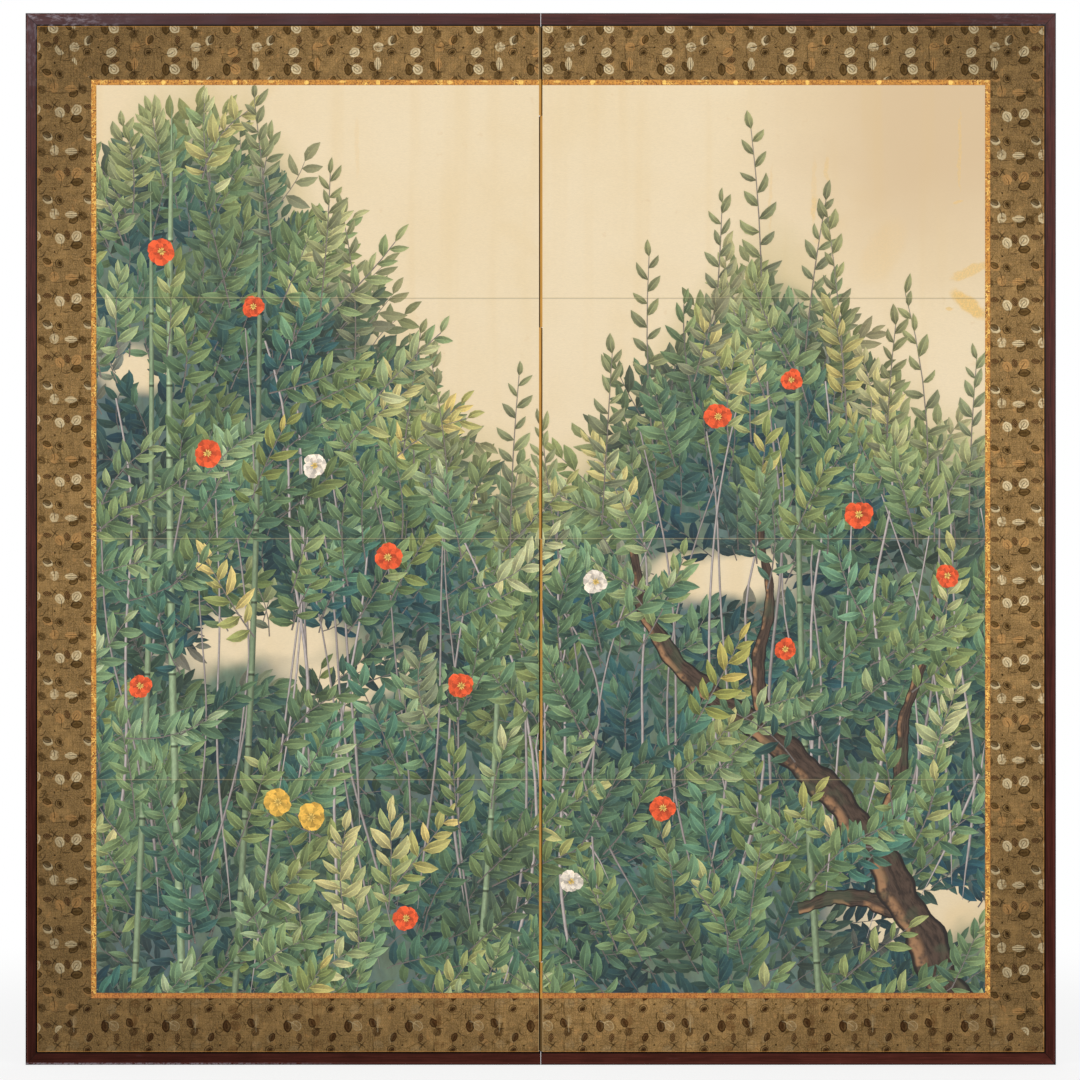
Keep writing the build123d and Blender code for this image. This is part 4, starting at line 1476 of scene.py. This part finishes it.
def sprays(rng, strokes):
    """Scatters leafy sprays on a jittered lattice over the foliage.

    Places stack by their column mod 3 and row mod 5, so sprays that overlap never share a plane. A spray
    points away from the nearest of a few bush centres, mixed with straight up. Its tone rises towards the
    canopy's edge and follows a slow wave field, and another wave field thins the patchier layers.
    """
    pitch, leaves, reach, leaf_reach, tone, lean, half_width, threshold, patch, lit = SPRAYS[strokes.layer]
    columns = np.arange(-1, int(2 * PAINTING_SIDE / pitch) + 2)
    rows = np.arange(-3, int((PAINTING_TOP - PAINTING_BOTTOM) / pitch) + 2)
    i, j = (axis.ravel() for axis in np.meshgrid(columns, rows))
    x = -PAINTING_SIDE + (i + rng.uniform(-0.38, 0.38, i.shape)) * pitch
    z = PAINTING_BOTTOM + (j + rng.uniform(-0.38, 0.38, i.shape)) * pitch
    kept = foliage_cover(x, z + 0.5 * reach) > threshold + rng.uniform(-0.2, 0.2, i.shape)
    kept &= ripple(x, z, 0.20, 8) > patch + rng.uniform(-0.15, 0.15, i.shape)
    i, j, x, z = (values[kept] for values in (i, j, x, z))
    cover = foliage_cover(x, z + 0.5 * reach)
    count = len(x)
    level = ((i % SPRAY_COLUMNS) * 2) % SPRAY_COLUMNS * SPRAY_ROWS + (j * 2) % SPRAY_ROWS
    level = level / (SPRAY_COLUMNS * SPRAY_ROWS)
    over_x, over_z = x - BUSHES[:, :1], z - BUSHES[:, 1:]
    nearest = np.argmin(np.hypot(over_z, over_x), axis=0)
    fan = np.arctan2(over_z, over_x)[nearest, np.arange(count)]
    fan = np.clip(fan, 0.1 * np.pi, 0.9 * np.pi)
    heading = np.pi / 2 + 0.62 * lean * (fan - np.pi / 2) + ripple(x, z, 0.42, 3) * 0.30
    heading = heading + rng.normal(0.0, 0.24, count) * lean
    depth = canopy_height(x) - z - reach
    tones = tone + 0.17 * ripple(x, z, 0.30, 5) + 0.20 * np.exp(-np.maximum(depth, 0.0) / 0.10)
    tones = tones + rng.normal(0.0, 0.07, count)
    for lx, lz, radius in LIT_CLUMPS:
        tones = tones + lit * np.exp(-((x - lx) ** 2 + (z + 0.5 * reach - lz) ** 2) / radius**2)
    haze = np.clip(0.80 - cover, 0.0, 0.55) * 0.6
    warmth = 0.75 * np.exp(-np.maximum(depth + 0.5 * reach, 0.0) / 0.055)
    warmth = warmth + 0.22 * np.clip(ripple(x, z, 0.24, 41), 0.0, 1.0)
    foot = np.stack([x, z], -1)
    grown = reach * rng.uniform(0.75, 1.2, count)
    bend = rng.normal(0.0, 0.45, count)
    leafy_twigs(
        strokes, rng, foot, heading, bend, grown, leaves, leaf_reach, tones, haze, warmth, level, half_width
    )


def tall_shoots(rng, strokes):
    """Slender shoots that stand above the canopy, on three levels in turn."""
    count = len(SHOOTS)
    x, reach, lean = np.array(SHOOTS).T
    foot = np.stack([x, canopy_height(x) - 0.12], -1)
    level = np.arange(count) * SPRAY_ROWS % (SPRAY_COLUMNS * SPRAY_ROWS) / (SPRAY_COLUMNS * SPRAY_ROWS)
    tone = 0.50 + rng.normal(0.0, 0.07, count)
    haze, warmth = np.full(count, 0.10), np.full(count, 0.55)
    bend = rng.normal(0.0, 0.15, count)
    heading = np.pi / 2 - lean
    leafy_twigs(
        strokes, rng, foot, heading, bend, reach, SHOOT_LEAVES, SHOOT_LEAF,
        tone, haze, warmth, level, SHOOT_HALF,
    )


def both_panels(strokes, material):
    """The layer's two pieces, one for each panel."""
    strokes.part_twins()
    return [strokes.piece(side, material) for side in SIDES]


# --- Operators ---


class SCREEN_OT_frame(bpy.types.Operator):
    """Lacquers the frame's stiles and rails"""

    bl_idname = "screen.finish_frame"
    bl_label = "Lacquer the frame"

    def execute(self, context):
        dress(of_both("frame_outer_stile"), lacquer("Lacquer on stiles", 2))
        dress(of_both("frame_top_rail", "frame_bottom_rail"), lacquer("Lacquer on rails", 0))
        dress(of_both("frame_nails"), nail_iron())
        return {"FINISHED"}


class SCREEN_OT_core(bpy.types.Operator):
    """Gives the lattice core its cedar and its skins their laminated paper"""

    bl_idname = "screen.finish_core"
    bl_label = "Finish the core"

    def execute(self, context):
        uprights = of_both("core_inner_stile", "core_outer_stile", "lattice_uprights")
        levels = of_both("core_bottom_rail", "core_top_rail", "lattice_crossbars")
        dress(uprights, core_wood("Cedar upright", 2))
        dress(levels, core_wood("Cedar level", 0))
        skins = of_both("front_underlayer", "back_underlayer")
        dress(skins, plain_paper("Under paper", (0.66, 0.58, 0.44), (0.45, 0.34, 0.20), 0.4))
        return {"FINISHED"}


class SCREEN_OT_hinges(bpy.types.Operator):
    """Papers the hinge flaps and the panels' inner sides, and hangs the curved hinge bands in the joint"""

    bl_idname = "screen.finish_hinges"
    bl_label = "Paper the hinges"

    def execute(self, context):
        tone = context.scene.screen_paper.hinge
        paper = plain_paper("Hinge paper", tone, (0.30, 0.17, 0.06), 0.5, roughness=0.6)
        dress(of_both("hinge_flaps", "edge_paper"), paper)
        band = band_paper()
        path = smooth_path(BAND_PATH, BAND_POINTS)
        middle = int(np.argmin(np.abs(path[:, 1] - BAND_SPLIT)))
        corner, bend = path[0], path[path[:, 0] < BAND_FOLD][-1]
        back_corner, back_bend = path[-1], path[-BAND_TAIL]
        for kind, hand in (("odd", 1.0), ("even", -1.0)):
            webs = [f"hinge_web_{number}" for number in ((1, 3, 5) if kind == "odd" else (2, 4, 6))]
            turned = path * (hand, 1.0)
            front = hinge_bands(f"{kind}_bands_front", webs, turned[: middle + 1], band)
            back = hinge_bands(f"{kind}_bands_back", webs, turned[middle:], band)
            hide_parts(*webs)
            spots = np.array((corner, bend, back_bend, back_corner)) * (hand, 1.0)
            at_corner, at_bend, at_back_bend, at_back_corner = map(level_point, spots)
            if kind == "odd":
                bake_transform(front)
                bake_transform(back)
            else:
                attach(front, "even_webs")
                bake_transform(back)
        return {"FINISHED"}


def level_point(place):
    """A point of the joint's plan at half the height of the screen."""
    return (float(place[0]), float(place[1]), SCREEN_TOP / 2.0)


def hinge_bands(name, webs, path, material):
    """Closed paper strips: a path in plan, half the paper thick to each side, carried up each band."""
    step = np.gradient(path, axis=0)
    normal = np.stack([step[:, 1], -step[:, 0]], -1) / np.linalg.norm(step, axis=1)[:, None]
    ring = np.concatenate([path + normal * BAND_PAPER / 2.0, (path - normal * BAND_PAPER / 2.0)[::-1]])
    count, half = len(ring), len(path)
    around = np.arange(count)
    along = np.arange(half - 1)
    side = np.stack([around, (around + 1) % count, (around + 1) % count + count, around + count], -1)
    cap = np.stack([along, count - 1 - along, count - 2 - along, along + 1], -1)
    solid = np.concatenate([side, cap, cap[:, ::-1] + count])
    corners, faces = [], []
    for number, web in enumerate(webs):
        low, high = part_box(web)
        reach = [low.z - BAND_LAP * (low.z > 0.1), high.z + BAND_LAP * (high.z < SCREEN_TOP - 0.1)]
        corners += [np.column_stack([ring, np.full(count, level)]) for level in reach]
        faces.append(solid + 2 * count * number)
    mesh = bpy.data.meshes.new(name)
    mesh.from_pydata(np.concatenate(corners).tolist(), [], np.concatenate(faces).tolist())
    work = bmesh.new()
    work.from_mesh(mesh)
    bmesh.ops.recalc_face_normals(work, faces=work.faces)
    work.to_mesh(mesh)
    work.free()
    mesh.materials.append(material)
    piece = bpy.data.objects.new(name, mesh)
    bpy.context.scene.collection.objects.link(piece)
    return piece


def band_paper():
    """Gold-toned paper by the painting, brown cloth by the brocade, and painted shade deep in the joint."""
    settings = bpy.context.scene.screen_paper

    def base(tree):
        place = tree.place()
        _, y, z = tree.split(place)
        gold = paper_colour(tree, settings.hinge, (0.30, 0.15, 0.05), 0.5)
        height = abs(z - PAINTING_MIDDLE)
        beyond = tree.between(height, PAINTING_HALF + 9.0 * MM, PAINTING_HALF + 10.0 * MM)
        cloth = tuple(c * 0.5 for c in bpy.context.scene.screen_cloth.ground)
        paper = tree.mix(beyond, gold, cloth)
        worn = tree.between(tree.noise(place, 14.0, 3.0), 0.35, 0.65, 0.0, 0.55)
        paper = tree.mix(worn * (1.0 - beyond), paper, (0.44, 0.23, 0.055))
        # Painted shade: darker as the band runs deeper into the joint, sooner beside the brocade, none near
        # the back
        depth = y - PAPER_FRONT
        on_paper = tree.between(depth, 0.6 * MM, 2.6 * MM)
        on_cloth = tree.between(depth, 0.2 * MM, 0.8 * MM)
        joint_shade = tree.mix(beyond, on_paper, on_cloth)
        dark = tree.mix(beyond, (0.085, 0.030, 0.008), (0.012, 0.007, 0.004))
        back = tree.between(y, -PAPER_FRONT - 2.0 * MM, -PAPER_FRONT - 0.5 * MM)
        return tree.mix(joint_shade * (1.0 - back), paper, dark)

    return finish("Hinge band paper", base, 0.8, paper_height, 0.08 * MM, Specular_IOR_Level=0.05)


class SCREEN_OT_back(bpy.types.Operator):
    """Prints the back paper"""

    bl_idname = "screen.finish_back"
    bl_label = "Print the back paper"

    def execute(self, context):
        dress(of_both("back_paper"), back_paper())
        return {"FINISHED"}


class SCREEN_OT_brocade(bpy.types.Operator):
    bl_idname = "screen.weave_brocade"
    bl_label = "Weave the brocade"

    def execute(self, context):
        dress(of_both("brocade_top"), brocade("top"))
        dress(of_both("brocade_bottom"), brocade("bottom"))
        for side in SIDES:
            dress([f"{side}_brocade_outer"], brocade(side))
        declare_strips("brocade")
        return {"FINISHED"}


class SCREEN_OT_gold_border(bpy.types.Operator):
    """Weaves the narrow gold border"""

    bl_idname = "screen.weave_gold_border"
    bl_label = "Weave the gold border"

    def execute(self, context):
        dress(of_both("gold_border_top", "gold_border_bottom"), gold_border("Gold border across", 0))
        dress(of_both("gold_border_outer"), gold_border("Gold border upright", 2))
        declare_strips("gold_border")
        return {"FINISHED"}


def declare_strips(kind):
    """Looks up each strip of the kind on both panels, and does nothing more with it.

    A mitre takes off half a square as wide as the strip: two on an outer strip and one on the others.
    """
    for side in SIDES:
        for place, mitres in (("outer", 2), ("top", 1), ("bottom", 1)):
            name = f"{side}_{kind}_{place}"
            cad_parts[name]


class SCREEN_OT_paper(bpy.types.Operator):
    """Lays the cream paper and the washes of the painting"""

    bl_idname = "screen.lay_painting_paper"
    bl_label = "Lay the painting paper"

    def execute(self, context):
        sheets = of_both(*(f"painting_sheet_{number}" for number in (1, 2, 3, 4)))
        dress(sheets, painting_paper())
        return {"FINISHED"}


class SCREEN_OT_far_leaves(bpy.types.Operator):
    """Paints the dark far leaves"""

    bl_idname = "screen.paint_far_leaves"
    bl_label = "Paint the far leaves"

    def execute(self, context):
        strokes = Strokes("far_leaves")
        sprays(np.random.default_rng(context.scene.screen_garden.seed), strokes)
        both_panels(strokes, leaf_pigment("Far leaf pigment", 0.35, 0.35, 0.35))
        return {"FINISHED"}


class SCREEN_OT_middle_leaves(bpy.types.Operator):
    """Paints the middle leaves"""

    bl_idname = "screen.paint_middle_leaves"
    bl_label = "Paint the middle leaves"

    def execute(self, context):
        strokes = Strokes("middle_leaves")
        sprays(np.random.default_rng(context.scene.screen_garden.seed + 1), strokes)
        both_panels(strokes, leaf_pigment("Middle leaf pigment", 0.55, 0.5, 0.5))
        return {"FINISHED"}


class SCREEN_OT_stems(bpy.types.Operator):
    """Paints the tall stems between the leaves"""

    bl_idname = "screen.paint_stems"
    bl_label = "Paint the stems"

    def execute(self, context):
        garden = context.scene.screen_garden
        rng = np.random.default_rng(garden.seed + 2)
        stems = Strokes("stems")
        count = STEM_COUNT
        foot = np.linspace(-PAINTING_SIDE, PAINTING_SIDE, count) + rng.normal(0.0, 0.012, count)
        start = PAINTING_BOTTOM + rng.uniform(-0.02, 0.35, count)
        rise = np.clip(canopy_height(foot) - start - rng.uniform(0.02, 0.25, count), 0.12, 0.75)
        t = np.linspace(0.0, 1.0, 16)
        sway = rng.normal(0.0, 0.030, (count, 1)) * np.sin(np.pi * t)
        sway = sway + rng.normal(0.0, 0.05, (count, 1)) * t
        small = rng.normal(0.0, 0.007, (count, 1))
        sway = sway + small * np.sin(3.0 * np.pi * t + rng.uniform(0.0, 6.0, (count, 1)))
        lines = np.stack([foot[:, None] + sway, start[:, None] + rise[:, None] * t], -1)
        half = rng.uniform(0.0018, 0.0030, (count, 1)) * (1.0 - 0.45 * t) * np.clip(0.15 + 6.0 * t, 0.0, 1.0)
        paint = rgb(garden.stem) * rng.uniform(0.85, 1.5, (count, 1))
        stems.add(ribbons(lines, half), paint, (np.arange(count) * STEM_STRIDE % count) / count)
        both_panels(stems, stem_pigment("Stem pigment", 0.0))
        return {"FINISHED"}


class SCREEN_OT_culms(bpy.types.Operator):
    """Paints the bamboo culms: straight leaning strips, ringed at each joint"""

    bl_idname = "screen.paint_culms"
    bl_label = "Paint the bamboo culms"

    def execute(self, context):
        garden = context.scene.screen_garden
        foot, lean, top, half_width = np.array(CULMS).T
        t = np.linspace(0.0, 1.0, 24)
        rise = (top - PAINTING_BOTTOM)[:, None] * t
        bow = 0.012 * np.sin(np.pi * t)[None] * np.sign(lean)[:, None]
        lines = np.stack([foot[:, None] + lean[:, None] * rise + bow, PAINTING_BOTTOM - 0.01 + rise], -1)
        half = half_width[:, None] * (1.0 - 0.45 * t**2) * np.clip(9.0 * (1.0 - t), 0.06, 1.0)
        culms = Strokes("culms")
        tone = np.array([1.0, 1.25, 0.85, 1.1, 0.95])[: len(CULMS), None]
        paint = rgb(garden.bamboo) * tone
        culms.add(ribbons(lines, half, 5), paint, np.arange(len(CULMS)) / len(CULMS))
        both_panels(culms, stem_pigment("Bamboo pigment", CULM_JOINT))
        return {"FINISHED"}


class SCREEN_OT_trunk(bpy.types.Operator):
    """Paints the trunk and limbs: smooth paths whose half width swells by the sum of two sine waves"""

    bl_idname = "screen.paint_trunk"
    bl_label = "Paint the trunk"

    def execute(self, context):
        trunk = Strokes("trunk")
        for number, points in enumerate(TRUNK):
            path = smooth_path(points, 18 * len(points))
            s = np.linspace(0.0, 2.0 * np.pi * len(points), len(path))
            slow, fast = 0.10 * np.sin(1.3 * s + number), 0.07 * np.sin(3.1 * s + 2.0 * number)
            half = path[:, 2] * (1.0 + slow + fast)
            wander = 0.10 * path[:, 2:] * np.stack([np.sin(1.1 * s), np.cos(0.9 * s + 1.0)], -1)
            paint = [tuple(context.scene.screen_garden.bark)]
            level = [1.0 - number / len(TRUNK)]
            trunk.add(ribbons((path[:, :2] + wander)[None], half[None], 9), paint, level)
        both_panels(trunk, bark_pigment())
        return {"FINISHED"}


class SCREEN_OT_near_sprays(bpy.types.Operator):
    """Paints the bright sprays in front and the tall shoots"""

    bl_idname = "screen.paint_near_sprays"
    bl_label = "Paint the near sprays"

    def execute(self, context):
        rng = np.random.default_rng(context.scene.screen_garden.seed + 3)
        strokes = Strokes("near_sprays")
        sprays(rng, strokes)
        tall_shoots(rng, strokes)
        both_panels(strokes, leaf_pigment("Near leaf pigment", 0.75, 0.7, 0.55))
        return {"FINISHED"}


class SCREEN_OT_blossoms(bpy.types.Operator):
    """Paints the blossoms: two whorls of broad petals about a knot of stamens"""

    bl_idname = "screen.paint_blossoms"
    bl_label = "Paint the blossoms"

    def execute(self, context):
        garden = context.scene.screen_garden
        rng = np.random.default_rng(garden.seed + 4)
        strokes = Strokes("blossoms")
        for x, z, size, kind in BLOSSOMS:
            petals(rng, strokes, (x, z), size, rgb(getattr(garden, kind)))
        both_panels(strokes, leaf_pigment("Petal pigment", 0.6, 0.2, 0.6))
        return {"FINISHED"}


def petals(rng, strokes, middle, size, tone):
    """A blossom seen from in front: six outer and five inner petals and nine stamens, all of them blades."""
    for number, (count, reach, level) in enumerate(WHORLS):
        heading = np.arange(count) * 2.0 * np.pi / count + rng.uniform(0.0, 1.0)
        heading = heading + rng.normal(0.0, 0.12, count)
        foot = np.tile(np.array(middle), (count, 1))
        length_now = size * reach * rng.uniform(0.88, 1.1, count)
        curl = rng.normal(0.0, 0.25, count)
        shapes = blades(foot, heading, length_now, length_now * 0.50, curl, rows=9, outline=(1.55, 0.42))
        paint = tone * rng.uniform(0.78, 1.10, (count, 1)) * (1.0 - 0.10 * number)
        strokes.add(shapes, np.clip(paint, 0.0, 1.0), level + np.arange(count) / 20.0)
    count = STAMENS
    heading = np.arange(count) * 2.0 * np.pi / count + rng.normal(0.0, 0.15, count)
    foot = np.tile(np.array(middle), (count, 1))
    length_now, half = np.full(count, size * 0.32), np.full(count, size * 0.055)
    shapes = blades(foot, heading, length_now, half, np.zeros(count), rows=3)
    strokes.add(shapes, np.tile((0.86, 0.58, 0.14), (count, 1)), STAMEN_LEVEL + np.arange(count) / 40.0)


class SCREEN_OT_stage(bpy.types.Operator):
    """Sets the pale floor, the even light and the camera"""

    bl_idname = "screen.set_stage"
    bl_label = "Set the stage"

    def execute(self, context):
        stage = context.scene.screen_stage
        set_camera(stage)
        set_floor()
        set_lights(stage)
        context.scene.view_settings.view_transform = "Standard"
        return {"FINISHED"}


def set_camera(stage):
    """Long lens square to the painting, level with the middle of the picture."""
    data = bpy.data.cameras.new("Camera")
    data.sensor_width = 36.0
    data.lens = data.sensor_width * stage.camera_distance / stage.view_width
    data.clip_end = 100.0
    camera = bpy.data.objects.new("Camera", data)
    camera.location = (stage.view_x, FRAME_FRONT - stage.camera_distance, stage.view_z)
    camera.rotation_euler = (math.radians(90.0), 0.0, 0.0)
    bpy.context.scene.collection.objects.link(camera)
    bpy.context.scene.camera = camera


def set_floor():
    """Large flat floor: far off it is white to the camera, and near the object it keeps the shadow."""
    reach = 30.0
    mesh = bpy.data.meshes.new("floor")
    corners = [(-reach, -reach, 0), (reach, -reach, 0), (reach, reach, 0), (-reach, reach, 0)]
    mesh.from_pydata(corners, [], [(0, 1, 2, 3)])
    floor = bpy.data.objects.new("floor", mesh)
    material = bpy.data.materials.new("Floor")
    material.use_nodes = True
    tree = Tree(material.node_tree)
    nodes = material.node_tree.nodes
    shader = nodes["Principled BSDF"]
    speck = tree.noise(tree.place(), 3.0, 2.0)
    tone = tree.mix(tree.between(speck, 0.3, 0.7), (0.86, 0.86, 0.86), (0.88, 0.88, 0.88))
    tree.feed(shader.inputs["Base Color"], tone)
    shader.inputs["Roughness"].default_value = 0.9
    glow = tree.node("Emission", {"Color": (1.0, 1.0, 1.0, 1.0), "Strength": 1.0})
    path = tree.node("LightPath")
    away = tree.between(tree.vector("LENGTH", tree.place()), 1.0, 2.6, 0.80, 1.0)
    seen = tree.largest(path["Is Camera Ray"], path["Is Glossy Ray"]) * away
    both = tree.node("MixShader", {0: seen, 1: Wire(tree, shader.outputs[0]), 2: glow[0]})
    tree.feed(nodes["Material Output"].inputs["Surface"], both[0])
    mesh.materials.append(material)
    bpy.context.scene.collection.objects.link(floor)


def set_lights(stage):
    """Even world light, white to the camera, and two large softboxes in front."""
    world = bpy.data.worlds.new("World")
    world.use_nodes = True
    bpy.context.scene.world = world
    tree = Tree(world.node_tree)
    path = tree.node("LightPath")
    seen = tree.largest(path["Is Camera Ray"], path["Is Glossy Ray"])
    strength = stage.sky_light + seen * (1.0 - stage.sky_light)
    background = world.node_tree.nodes["Background"]
    background.inputs["Color"].default_value = (1.0, 1.0, 1.0, 1.0)
    tree.feed(background.inputs["Strength"], strength)
    for side in (-1.0, 1.0):
        data = bpy.data.lights.new("Softbox", "AREA")
        data.size = 2.4
        data.energy = stage.key_light
        lamp = bpy.data.objects.new("Softbox", data)
        lamp.location = (side * 2.6, -4.2, 2.6)
        aim = np.array([0.0, 0.0, 0.9]) - np.array(lamp.location)
        lamp.rotation_euler = (math.acos(aim[2] / -np.linalg.norm(aim)), 0.0, math.atan2(-aim[0], aim[1]))
        bpy.context.scene.collection.objects.link(lamp)


# --- Panel and run ---

OPERATORS = (
    SCREEN_OT_frame,
    SCREEN_OT_core,
    SCREEN_OT_hinges,
    SCREEN_OT_back,
    SCREEN_OT_brocade,
    SCREEN_OT_gold_border,
    SCREEN_OT_paper,
    SCREEN_OT_far_leaves,
    SCREEN_OT_middle_leaves,
    SCREEN_OT_stems,
    SCREEN_OT_culms,
    SCREEN_OT_trunk,
    SCREEN_OT_near_sprays,
    SCREEN_OT_blossoms,
    SCREEN_OT_stage,
)
SETTINGS = {
    "screen_lacquer": LacquerSettings,
    "screen_cloth": ClothSettings,
    "screen_paper": PaperSettings,
    "screen_garden": GardenSettings,
    "screen_stage": StageSettings,
}


class SCREEN_PT_finish(bpy.types.Panel):
    """Lists the steps and settings of the screen's finish"""

    bl_idname = "SCREEN_PT_finish"
    bl_label = "Folding screen"
    bl_space_type = "VIEW_3D"
    bl_region_type = "UI"
    bl_category = "Screen"

    def draw(self, context):
        for operator in OPERATORS:
            self.layout.operator(operator.bl_idname)
        for name, settings in SETTINGS.items():
            box = self.layout.box()
            box.label(text=settings.__doc__)
            for key in settings.__annotations__:
                box.prop(getattr(context.scene, name), key)


def register():
    """Adds the settings, the operators and the panel."""
    for name, settings in SETTINGS.items():
        bpy.utils.register_class(settings)
        setattr(bpy.types.Scene, name, bpy.props.PointerProperty(type=settings))
    for item in (*OPERATORS, SCREEN_PT_finish):
        bpy.utils.register_class(item)


def unregister():
    """Takes them out again, last first."""
    for item in (SCREEN_PT_finish, *reversed(OPERATORS)):
        bpy.utils.unregister_class(item)
    for name, settings in reversed(SETTINGS.items()):
        delattr(bpy.types.Scene, name)
        bpy.utils.unregister_class(settings)


def main():
    """Runs every operator in order."""
    register()
    for operator in OPERATORS:
        group, call = operator.bl_idname.split(".")
        getattr(getattr(bpy.ops, group), call)()
    bpy.context.view_layer.update()


if __name__ == "__main__":
    main()
